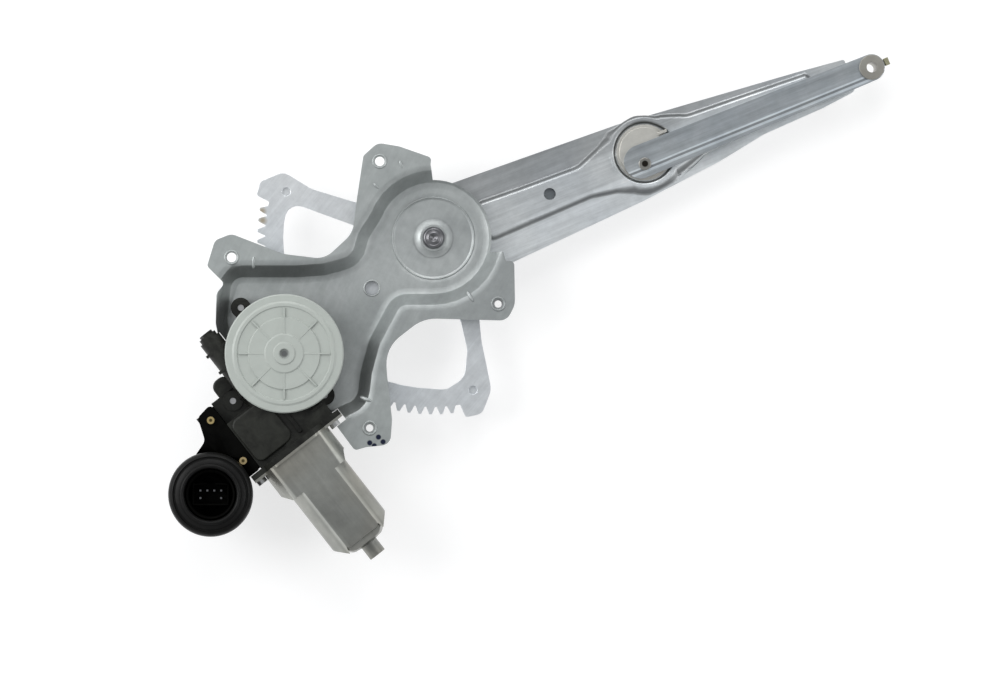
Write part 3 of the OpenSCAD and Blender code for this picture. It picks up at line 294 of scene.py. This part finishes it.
def marked(tree, at, shade, marks):
    """Lays marks on a colour: each is (places, radius, edge, colour) in millimetres."""
    for places, radius, edge, colour in marks:
        share = near(tree, at, places, radius, edge)
        shade = put(tree, "Mix", {0: share, 6: shade, 7: colour + (1,)}, data_type="RGBA").outputs[2]
    return shade


def banded(tree, at, level, bands):
    """Multiplies a level by a factor that follows a direction, each band as plated() takes it."""
    for toward, stops in bands:
        reach = put(tree, "VectorMath", {0: at, 1: toward}, operation="DOT_PRODUCT").outputs["Value"]
        first, last = stops[0][0], stops[-1][0]
        share = put(tree, "MapRange", {0: reach, 1: first * MM, 2: last * MM, 3: 0.0, 4: 1.0})
        band = put(tree, "ValToRGB", {0: share.outputs[0]})
        # The ramp holds half of each factor, because its colours end at 1
        band.color_ramp.elements[0].color = (stops[0][1] / 2,) * 3 + (1,)
        band.color_ramp.elements[1].color = (stops[-1][1] / 2,) * 3 + (1,)
        for distance, factor in stops[1:-1]:
            stop = band.color_ramp.elements.new((distance - first) / (last - first))
            stop.color = (factor / 2,) * 3 + (1,)
        level = put(tree, "Math", {0: level, 1: band.outputs[0]}, operation="MULTIPLY").outputs[0]
        level = put(tree, "Math", {0: level, 1: 2.0}, operation="MULTIPLY").outputs[0]
    return level


def plated(name, light, dark, tint, roughness=0.42, turn=0.0, streak=1.0, metal=0.9, bands=(), marks=()):
    """Zinc plating: cloudy patches, small mottling, rolling lines along the sheet and a fine grain.

    bands are (direction, ((distance, factor), ...)) with distances in millimetres: they paint shade and
    light, such as darker sloping walls of a pressed form, highlights on its crests and edges, and one side
    of a sheet lighter. marks are (places, radius, edge, colour) of ink, stains, and painted shade in
    hollows on the metal.
    """
    material = blank_material(name)
    tree = material.node_tree
    at = put(tree, "TexCoord").outputs["Object"]
    rolled = put(tree, "Mapping", {"Vector": at, "Rotation": (0, 0, turn), "Scale": (1, 0.05, 0.15)},
                 vector_type="TEXTURE")
    clouds = put(tree, "TexNoise", {"Vector": at, "Scale": 17.0, "Detail": 5.0, "Roughness": 0.55})
    patches = put(tree, "TexNoise", {"Vector": at, "Scale": 9.0, "Detail": 2.0, "Distortion": 0.6})
    mottle = put(tree, "TexNoise", {"Vector": at, "Scale": 150.0, "Detail": 4.0, "Roughness": 0.65})
    lines = put(tree, "TexNoise", {
        "Vector": rolled.outputs[0], "Scale": 14.0, "Detail": 6.0, "Roughness": 0.7})
    grain = put(tree, "TexNoise", {"Vector": at, "Scale": 900.0, "Detail": 3.0})
    depth = put(tree, "MapRange", {0: clouds.outputs[0], 1: 0.36, 2: 0.64, 3: 0.0, 4: 1.0})
    tone = put(tree, "Mix", {0: depth.outputs[0], 6: light + (1,), 7: dark + (1,)}, data_type="RGBA")
    hue = put(tree, "MapRange", {0: patches.outputs[0], 1: 0.42, 2: 0.68, 3: 0.0, 4: 0.6})
    tinted = put(tree, "Mix", {0: hue.outputs[0], 6: tone.outputs[2], 7: tint + (1,)}, data_type="RGBA")
    drawn = put(tree, "MapRange", {
        0: lines.outputs[0], 1: 0.3, 2: 0.7, 3: 1 - 0.1 * streak, 4: 1 + 0.1 * streak})
    spotty = put(tree, "MapRange", {0: mottle.outputs[0], 1: 0.3, 2: 0.7, 3: 0.93, 4: 1.06})
    level = put(tree, "Math", {0: drawn.outputs[0], 1: spotty.outputs[0]}, operation="MULTIPLY")
    level = banded(tree, at, level.outputs[0], bands)
    shade = put(tree, "VectorMath", {0: tinted.outputs[2], 3: level}, operation="SCALE").outputs[0]
    shade = marked(tree, at, shade, marks)
    gloss = put(tree, "MapRange", {
        0: clouds.outputs[0], 1: 0.25, 2: 0.75, 3: roughness - 0.06, 4: roughness + 0.08})
    rise = put(tree, "Math", {0: mottle.outputs[0], 1: 1.0, 2: grain.outputs[0]},
               operation="MULTIPLY_ADD")
    bump = put(tree, "Bump", {"Strength": 0.2, "Distance": 0.0002, "Height": rise.outputs[0]})
    coat = put(tree, "BsdfPrincipled", {
        "Base Color": shade, "Metallic": metal, "Roughness": gloss.outputs[0],
        "Normal": bump.outputs[0]})
    put(tree, "OutputMaterial", {"Surface": coat.outputs[0]})
    return material


plate_zinc = plated(
    "plate_zinc", (0.52, 0.545, 0.54), (0.34, 0.36, 0.36), (0.42, 0.45, 0.44),
    roughness=0.5, turn=1.1, streak=0.5, marks=((INK_DOTS, 1.5, 0.6, INK),))
plate = merged("base_plate")
soften(plate, 2.1, segments=6, lowest=12, highest=75, beside_flat=(9.5, 13))
soften(plate, 2.6, segments=6, lowest=12, highest=75, beside_flat=(-0.2, 0.2))
soften(plate, 0.35)
# The wall's gusset darts, where the crest turns
for dart_x, dart_y, dart_turn in (
    (20.9, 84.6, 113.8), (4.2, 69.8, 138), (-82.5, 17.4, 90), (68.4, -6.0, -58), (-4.8, -77.6, -20),
):
    lump(plate, (dart_x, dart_y, EAR_FACE - 1), DART_SIZE, math.radians(dart_turn), DART_LEAN)
# The rim of the coined disc round the pivot, and the drawn collars of the panel's and the ears' holes
collar(plate, (PIVOT_X, PIVOT_Y, -0.12), DISC_RIM_R, 0.45)
collar(plate, (0, 0, -0.1), PANEL_HOLE_R, 0.6)
for mount in frame["record"]["mounts"]:
    if mount["name"].startswith("ear_") and mount["kind"] == "bore":
        ear_x, ear_y = mount["pos_m"][:2]
        collar(plate, (ear_x / MM, ear_y / MM, EAR_FACE - 0.45), EAR_COLLAR_R, 1.0)
piece(plate, "plate_pressing", "base", plate_zinc, ["base_plate"])
dress("zinc_steel", plate_zinc)

# The sector: a thick blanked steel plate with two windows and a toothed rim, riveted to the lift arm.
# It is bright from its plating, and stained a little brown by grease near its upper teeth.
STAIN = (0.5, 0.44, 0.34)
STAINS = [(-76.5, 47.6), (-77.0, 54.0)]
sector_zinc = plated(
    "sector_zinc", (0.91, 0.93, 0.94), (0.71, 0.735, 0.755), (0.77, 0.81, 0.84),
    roughness=0.40, turn=0.9, streak=0.8, marks=((STAINS, 0.8, 3.0, STAIN),))
sector = merged("sector_gear")
soften(sector, 0.2, lowest=50)
piece(sector, "sector_plate", "lift", sector_zinc, ["sector_gear"])
dress("sector_steel", sector_zinc)

# The lift arm: a long pressing of zinc-plated sheet, with a raised channel that grows round the cross
# pivot into a round well and runs on to the roller pin. Its walls slope, and its edges are rolled.
# Places on it, in millimetres, run from the main pivot (x) and across the arm (y).
ARM = (Matrix.Translation((PIVOT_X * MM, PIVOT_Y * MM, 0))
       @ Matrix.Rotation(math.radians(22.2), 4, "Z"))
ARM_FACE = -7.6
CHANNEL_FACE = -5.2
SAME_LEVEL = 0.05
ARM_HOLE = Vector((87.5, -2))
CROSS_PIVOT = Vector((160, 0))
ROLLER_PIN = Vector((292, -3))
HOLE_LEDGE_R = 6
PIN_LEDGE_R = 7.2
WELL_TOP_R = 20
WELL_FOOT_R = 22
CHANNEL_START_X = (45, 53)
CHANNEL_START_Y = (-17, 11.5)
CHANNEL_SHIFT = 10
BEAD_X = (176, 288)
BEAD_Y = (1, 20)
BEAD_EASE = (14, 3.4)
BEAD_GROWTH = 4.5
WALL_LEAN = 1.3
WALL_SPREAD = 1.5
WELL_SPREAD = 2.5
WELL_WALL_R = 26
WELL_FADE = 8
RIM_MARGIN = 1.6
ACROSS_ARM = (0.378, -0.926, 0)
ALONG_ARM = (0.926, 0.378, 0)
# The bands paint shade and light on the arm: darker on the channel's sloping walls with a dimmed highlight
# at its crest, painted shade along its upper edge, and lighter on the channel and the lower flange across
# the arm. It is also a little lighter from 186 mm along it onwards.
arm_zinc = plated(
    "arm_zinc", (0.62, 0.64, 0.645), (0.44, 0.46, 0.47), (0.50, 0.53, 0.56),
    roughness=0.38, turn=0.387, streak=1.6,
    bands=(
        ((0, 0, 1), (
            (ARM_FACE, 1.0), (-7.45, 0.6), (-6.9, 0.32), (-6.1, 0.36), (-5.6, 0.6), (-5.35, 0.8),
            (CHANNEL_FACE, 1.05))),
        (ACROSS_ARM, ((-40, 0.78), (-27, 0.86), (-24, 1.18), (-6, 1.2), (-3, 1.5), (14, 1.5))),
        (ALONG_ARM, ((186, 1.0), (208, 1.08), (340, 1.08))),
    ))
arm = merged("lift_arm")
arm.transform(ARM.inverted())


def within(value, limits):
    """Whether a value lies between two limits."""
    return limits[0] < value < limits[1]


# The edges of the sheet's front face, with the sheared wall below them
rim = [
    e for e in arm.edges
    if all(abs(v.co.z / MM - ARM_FACE) < SAME_LEVEL for v in e.verts)
    and any(v.co.z / MM < ARM_FACE - SAME_LEVEL for f in e.link_faces for v in f.verts)
]
rim_corners = {v for e in rim for v in e.verts}
channel = [v for v in arm.verts if v.co.z > (ARM_FACE - SAME_LEVEL) * MM]
for corner in channel:
    x, y = corner.co.x / MM, corner.co.y / MM
    # The channel starts under the boss of the base plate
    if within(x, CHANNEL_START_X) and within(y, CHANNEL_START_Y):
        corner.co.x -= CHANNEL_SHIFT * MM
    # Beyond the cross pivot the bead stays wide
    beside_pin = (Vector((x, y)) - ROLLER_PIN).length < PIN_LEDGE_R
    if within(x, BEAD_X) and within(y, BEAD_Y) and not beside_pin and corner not in rim_corners:
        share = min((x - BEAD_X[0]) / BEAD_EASE[0], 1, (BEAD_X[1] - x) / BEAD_EASE[1])
        corner.co.y += BEAD_GROWTH * MM * share
arm.normal_update()
slopes = []
for corner in channel:
    walls = [
        f.normal for f in corner.link_faces
        if abs(f.normal.z) < 0.1 and f.calc_center_median().z > (ARM_FACE + 0.1) * MM
    ]
    place = Vector(corner.co[:2]) / MM
    if not walls or (place - ARM_HOLE).length < HOLE_LEDGE_R or (place - ROLLER_PIN).length < PIN_LEDGE_R:
        continue
    outwards = sum(walls, Vector()).normalized()
    from_pivot = (place - CROSS_PIVOT).length
    if corner.co.z > (CHANNEL_FACE - SAME_LEVEL) * MM:
        if from_pivot > WELL_TOP_R:
            slopes.append((corner, outwards * -WALL_LEAN * MM))
        continue
    if from_pivot < WELL_FOOT_R:
        continue
    # The wall's foot spreads, most round the well, and stays clear of the arm's edge
    near_well = max(0, 1 - abs(from_pivot - WELL_WALL_R) / WELL_FADE)
    spread = WALL_SPREAD * MM + WELL_SPREAD * MM * near_well
    for edge in rim:
        start, end = edge.verts[0].co, edge.verts[1].co
        share = geometry.intersect_point_line(corner.co, start, end)[1]
        spot = start.lerp(end, min(max(share, 0), 1))
        spread = min(spread, max(0, (spot - corner.co).length - RIM_MARGIN * MM))
    slopes.append((corner, outwards * spread))
for corner, shift in slopes:
    corner.co += shift
arm.transform(ARM)
arm.normal_update()
for face_z, face_edge in ((CHANNEL_FACE, 0.9), (ARM_FACE, 0.7)):
    soften(arm, face_edge, segments=3, lowest=15, highest=75, beside_flat=(face_z - 0.1, face_z + 0.1))
soften(arm, 0.25, lowest=75)
piece(arm, "lift_arm_pressing", "lift", arm_zinc, ["lift_arm"])
dress("arm_steel", arm_zinc)

# The equalizer: two pressed half-arms, riveted together through the round disc in the well of the
# lift arm. Two bright highlight lines, with painted shade between them, are painted along the half-arms'
# crest; its pin is turned and hollow.
FRONT_RIVET = (191.3, 87.2)
PAINTED_HOLLOW_SHADE = (0.03, 0.026, 0.022)
ACROSS_HALF_ARM = (0.377, -0.926, 0)
# Factors across the half-arms: two painted highlight lines with a painted shade line between them.
PAINTED_HIGHLIGHT_LINES = (
    (-26, 0.8), (-22, 0.95), (-10, 1.05), (-7.5, 1.2), (-7.0, 1.9), (-6.2, 1.9), (-5.8, 0.7),
    (-4.6, 0.8), (-4.2, 1.8), (-3.0, 1.7), (-2.4, 1.1), (2, 1.0))
front_zinc = plated(
    "front_zinc", (0.52, 0.55, 0.565), (0.34, 0.37, 0.395), (0.39, 0.43, 0.47),
    roughness=0.36, turn=0.387, streak=2.2, bands=((ACROSS_HALF_ARM, PAINTED_HIGHLIGHT_LINES),))
# A dark disc on the front rivet's head is painted shade for its hollow.
rivet_steel = plated(
    "rivet_steel", (0.42, 0.41, 0.38), (0.30, 0.29, 0.27), (0.36, 0.33, 0.28),
    roughness=0.34, metal=1.0, marks=(([FRONT_RIVET], 1.9, 0.7, PAINTED_HOLLOW_SHADE),))
disc_zinc = plated(
    "disc_zinc", (0.66, 0.65, 0.61), (0.55, 0.54, 0.50), (0.60, 0.58, 0.53),
    roughness=0.44, turn=0.4, streak=0.3)
pin_zinc = plated(
    "pin_zinc", (0.46, 0.445, 0.40), (0.31, 0.30, 0.27), (0.38, 0.36, 0.32),
    roughness=0.4, turn=0.4, streak=0.3)
for node, name, slot, finish, width, segments in (
    ("equalizer_front_arm", "equalizer_front_arm_pressing", "arm_steel", front_zinc, 1.1, 4),
    ("equalizer_rear_arm", "equalizer_rear_arm_pressing", "arm_steel", front_zinc, 1.1, 4),
    ("equalizer_rivets", "equalizer_rivet_heads", "pivot_steel", rivet_steel, 0.8, 4),
    ("pivot_disc", "pivot_disc_turned", "disc_steel", disc_zinc, 0.35, 3),
    ("front_pin", "front_pin_turned", "disc_steel", pin_zinc, 0.35, 3),
):
    shape = merged(node)
    soften(shape, width, segments, lowest=40)
    piece(shape, name, "equalizer", finish, [node])
dress("disc_steel", disc_zinc)

# The main pivot: a turned steel pin through the bush, with a domed head, a ring groove and the mark
# of the peening punch. The shaft's own end is drawn in under the head.
PIVOT_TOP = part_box("main_pivot")[1][2] / MM
HEAD_LINE = [
    (0.0, -1.5), (1.1, -1.4), (1.9, -0.7), (2.5, 0.0), (3.6, -0.1), (4.4, -0.5), (4.8, -1.1), (5.3, -1.1),
    (5.8, -0.7), (6.6, -1.1), (7.4, -2.0), (7.8, -3.0), (7.8, -3.4),
]
HEAD_DEPTH = 3.3
SHAFT_DROP = 3.35
SHAFT_SHRINK = 0.9
pin_steel = plated(
    "pin_steel", (0.26, 0.26, 0.27), (0.16, 0.16, 0.17), (0.2, 0.2, 0.21), roughness=0.3, metal=1.0)
head = bmesh.new()
head_line = [
    head.verts.new((PIVOT_X * MM + r * MM, PIVOT_Y * MM, (PIVOT_TOP + z) * MM)) for r, z in HEAD_LINE
]
head_edges = [head.edges.new(pair) for pair in zip(head_line[:-1], head_line[1:])]
bmesh.ops.spin(head, geom=head_line + head_edges, cent=(PIVOT_X * MM, PIVOT_Y * MM, 0), axis=(0, 0, 1),
               angle=math.tau, steps=64, use_merge=True)
bmesh.ops.remove_doubles(head, verts=head.verts[:], dist=0.002 * MM)
bmesh.ops.recalc_face_normals(head, faces=head.faces[:])
shaft = merged("main_pivot")
for corner in shaft.verts:
    if corner.co.z > (PIVOT_TOP - HEAD_DEPTH) * MM:
        corner.co.z = (PIVOT_TOP - SHAFT_DROP) * MM
        corner.co.x = PIVOT_X * MM + (corner.co.x - PIVOT_X * MM) * SHAFT_SHRINK
        corner.co.y = PIVOT_Y * MM + (corner.co.y - PIVOT_Y * MM) * SHAFT_SHRINK
shaft_mesh = bpy.data.meshes.new("shaft")
shaft.to_mesh(shaft_mesh)
shaft.free()
head.from_mesh(shaft_mesh)
piece(head, "pivot_pin", "lift", pin_steel, ["main_pivot"])
dress("pivot_steel", pin_steel)

# The gear case: black glass-filled nylon, moulded in one with the worm tunnel and its screw ears.
# Places on it, in millimetres, run along the armature (x) and across it towards the wheel (y).
ARMATURE = Matrix.Translation((-0.0884087, -0.0676677, 0)) @ Matrix.Rotation(math.radians(-52), 4, "Z")


def moulded(name, colour, roughness=0.45, speckle=0.25, shine=0.45, marks=()):
    """Plastic or rubber with a fine spark-eroded grain and faint flow marks."""
    material = blank_material(name)
    tree = material.node_tree
    at = put(tree, "TexCoord").outputs["Object"]
    flow = put(tree, "TexNoise", {
        "Vector": at, "Scale": 60.0, "Detail": 8.0, "Roughness": 0.65, "Distortion": 0.8})
    grain = put(tree, "TexNoise", {"Vector": at, "Scale": 1400.0, "Detail": 2.0})
    level = put(tree, "MapRange", {
        0: flow.outputs[0], 1: 0.3, 2: 0.7, 3: 1 / (1 + speckle), 4: 1 + speckle})
    shade = put(tree, "VectorMath", {0: colour, 3: level.outputs[0]}, operation="SCALE").outputs[0]
    shade = marked(tree, at, shade, marks)
    gloss = put(tree, "MapRange", {
        0: flow.outputs[0], 1: 0.3, 2: 0.7, 3: roughness + 0.08, 4: roughness - 0.06})
    bump = put(tree, "Bump", {"Strength": 0.25, "Distance": 0.0001, "Height": grain.outputs[0]})
    skin = put(tree, "BsdfPrincipled", {
        "Base Color": shade, "Roughness": gloss.outputs[0], "Normal": bump.outputs[0],
        "Specular IOR Level": shine})
    put(tree, "OutputMaterial", {"Surface": skin.outputs[0]})
    return material


def block(shape, low, high, corner, edge):
    """Adds a moulded block on the case, with rounded corners and a rounded top, in millimetres."""
    size = [b - a for a, b in zip(low, high)]
    middle = [(a + b) / 2 for a, b in zip(low, high)]
    made = bmesh.new()
    bmesh.ops.create_cube(made, size=1.0)
    bmesh.ops.scale(made, verts=made.verts, vec=Vector(size) * MM)
    bmesh.ops.translate(made, verts=made.verts, vec=Vector(middle) * MM)
    upright = [e for e in made.edges if abs(e.verts[0].co.z - e.verts[1].co.z) > 0.5 * size[2] * MM]
    bmesh.ops.bevel(made, geom=upright, offset=corner * MM, segments=6, profile=0.5, affect="EDGES",
                    material=-1)
    top = [e for e in made.edges if min(v.co.z for v in e.verts) > (high[2] - 0.01) * MM]
    bmesh.ops.bevel(made, geom=top, offset=edge * MM, segments=3, profile=0.5, affect="EDGES",
                    material=-1)
    bmesh.ops.transform(made, verts=made.verts, matrix=ARMATURE)
    mesh = bpy.data.meshes.new("block")
    made.to_mesh(mesh)
    made.free()
    shape.from_mesh(mesh)


black_nylon = moulded("black_nylon", (0.009, 0.0094, 0.008), roughness=0.36, speckle=2.4, shine=0.24)
case = merged("gear_housing")
soften(case, 0.5, segments=3)
# The raised field over the electronics, the rib beside it and the vent stub
block(case, (15, -26, 23), (50, 5, 25.6), corner=6, edge=1.4)
block(case, (17, 9, 23), (50, 12, 24.6), corner=1, edge=0.6)
block(case, (-15, -20, 1), (1, -6, 11), corner=6, edge=1.2)
# Four small clips beside the wheel's chamber
for clip_x, low_y, high_y, top in (
    (24, 18, 25, 25.4), (30, 22, 31, 25), (36, 24, 33, 25.4), (42, 25, 34, 24.8),
):
    block(case, (clip_x, low_y, 23), (clip_x + 2, high_y, top), corner=0.6, edge=0.5)
piece(case, "gear_case", "base", black_nylon, ["gear_housing"])
dress("black_plastic", black_nylon)

# The connector box and its lid: a dull black nylon shell that holds the board and the contacts, and
# is screwed to the gear case. Its collar and the well inside the boot keep their sharp edges.
box_nylon = moulded("box_nylon", (0.0022, 0.0022, 0.002), roughness=0.55, speckle=0.8, shine=0.02)
connector = merged("connector_housing", 0)
soften(connector, 0.6, segments=3, clear_of=(-112, -143.8, 31))
piece(connector, "connector_box", "base", box_nylon, ["connector_housing"])
dress("connector_plastic", box_nylon)

# The gear cover: a milky acetal disc with moulded ribs that closes the case over the worm wheel.
# The dimple in its middle is the mark that the mould's gate leaves.
COVER_MIDDLE = (-61.0, -46.3)
GATE_MARK = (0.10, 0.105, 0.105)
cover_acetal = moulded("cover_acetal", (0.41, 0.44, 0.41), roughness=0.32, speckle=0.05,
                       marks=(([COVER_MIDDLE], 1.6, 2.6, GATE_MARK),))
cover = merged("gear_cover")
soften(cover, 0.3, segments=3, lowest=25)
piece(cover, "cover_disc", "base", cover_acetal, ["gear_cover"])
dress("cover_plastic", cover_acetal)

# The boot: a ring of black rubber round the connector's mouth, moulded with a stepped lip that seals
# against the door's sheet. It is pushed on to the collar of the box.
BOOT_AT = Vector((-0.1120112, -0.1438484, 0))
BOOT_LINE = [
    (18.0, 34.2), (18.2, 36.6), (18.9, 37.7), (20.0, 38.0), (21.0, 37.4), (21.6, 36.2), (24.2, 35.7),
    (24.9, 34.7), (25.6, 34.7), (26.3, 35.9), (27.5, 35.5), (28.7, 33.8), (29.4, 31.0), (29.4, 24.0),
    (26.0, 21.0), (28.4, 18.0), (26.4, 16.2), (18.0, 16.2),
]
rubber = moulded("boot_rubber", (0.005, 0.005, 0.0048), roughness=0.44, speckle=0.6, shine=0.16)
boot = bmesh.new()
boot_line = [boot.verts.new(BOOT_AT + Vector((r, 0, z)) * MM) for r, z in BOOT_LINE]
boot_edges = [boot.edges.new((boot_line[i - 1], boot_line[i])) for i in range(len(boot_line))]
bmesh.ops.spin(boot, geom=boot_line + boot_edges, cent=BOOT_AT, axis=(0, 0, 1), angle=math.tau, steps=96,
               use_merge=True)
bmesh.ops.recalc_face_normals(boot, faces=boot.faces[:])
piece(boot, "boot_ring", "base", rubber, ["rubber_boot"])
dress("rubber", rubber)

# The motor can: deep-drawn steel with two flats and a pressed bearing seat, plated and then stained
# by handling. Its drawn end slopes, so the flat stops short of it.
# Places on the can run along the armature too
CAN_SHOULDER_X = 134
CAN_FLAT_Z = 35
CAN_SLOPE = 6
# The bands by height paint a bright double line of highlights round the edge of the can's flat.
can_zinc = plated(
    "can_zinc", (0.40, 0.405, 0.375), (0.26, 0.265, 0.25), (0.34, 0.31, 0.25),
    roughness=0.36, turn=-0.9076, streak=0.8,
    bands=(((0, 0, 1), (
        (33.4, 1.0), (34.4, 1.45), (35.2, 1.6), (35.38, 1.0), (36.6, 1.0), (37.1, 1.5), (37.4, 1.0))),))
can = merged("motor_yoke")
can.transform(ARMATURE.inverted())
for corner in can.verts:
    if corner.co.x > CAN_SHOULDER_X * MM and corner.co.z > CAN_FLAT_Z * MM:
        corner.co.x -= CAN_SLOPE * MM
can.transform(ARMATURE)
can.normal_update()
soften(can, 2.6, segments=6, lowest=12, highest=80, beside_flat=(34.8, 38))
soften(can, 0.9, segments=3, lowest=40)
piece(can, "motor_can", "base", can_zinc, ["motor_yoke"])
dress("yoke_steel", can_zinc)

# Screws, weld nuts, springs and shafts: cold-headed or ground steel with bright zinc. The two screws
# of the box are yellow-passivated, each with a dark disc painted on its head as shade for a recess, and
# the clip on the front pin is olive.
PAINTED_RECESS_SHADE = (0.10, 0.075, 0.03)
PAINTED_RECESS_SPOTS = [(-112.1, -92.5), (-89.6, -120.6)]
screw_zinc = plated("screw_zinc", (0.70, 0.70, 0.70), (0.55, 0.55, 0.56), (0.6, 0.62, 0.6), roughness=0.3)
yellow_zinc = plated("yellow_zinc", (0.66, 0.52, 0.24), (0.55, 0.42, 0.2), (0.6, 0.46, 0.28),
                     roughness=0.3, marks=((PAINTED_RECESS_SPOTS, 0.9, 0.5, PAINTED_RECESS_SHADE),))
olive_zinc = plated("olive_zinc", (0.44, 0.42, 0.28), (0.34, 0.33, 0.22), (0.4, 0.38, 0.26), roughness=0.4)
for slot in ("nut_steel", "screw_steel", "pinion_steel", "core_steel"):
    dress(slot, screw_zinc)
dress("brass_plate", yellow_zinc)
dress("clip_steel", olive_zinc)

# Rollers and worm wheel: natural acetal, turned or moulded. It runs dry on steel, in the door's
# channels and against the worm.
acetal = moulded("acetal", (0.76, 0.76, 0.70), roughness=0.35, speckle=0.05)
dress("roller_plastic", acetal)
dress("wheel_plastic", acetal)

# Inside the motor and the box: sintered bronze bushes, copper windings on a steel core, ferrite
# magnets, carbon brushes, and a green board that carries the steel-grey contacts.
bronze = plated("bronze", (0.55, 0.42, 0.20), (0.45, 0.33, 0.15), (0.5, 0.36, 0.2), roughness=0.45)
copper = plated("copper", (0.60, 0.28, 0.13), (0.5, 0.22, 0.1), (0.55, 0.26, 0.12), roughness=0.4)
dress("bronze", bronze)
dress("copper", copper)
dress("magnet", moulded("ferrite", (0.05, 0.05, 0.055), roughness=0.5))
dress("carbon", moulded("carbon", (0.02, 0.02, 0.02), roughness=0.5))
dress("board", moulded("board_green", (0.02, 0.10, 0.04), roughness=0.3, speckle=0.2))
dress("contact", pin_steel)
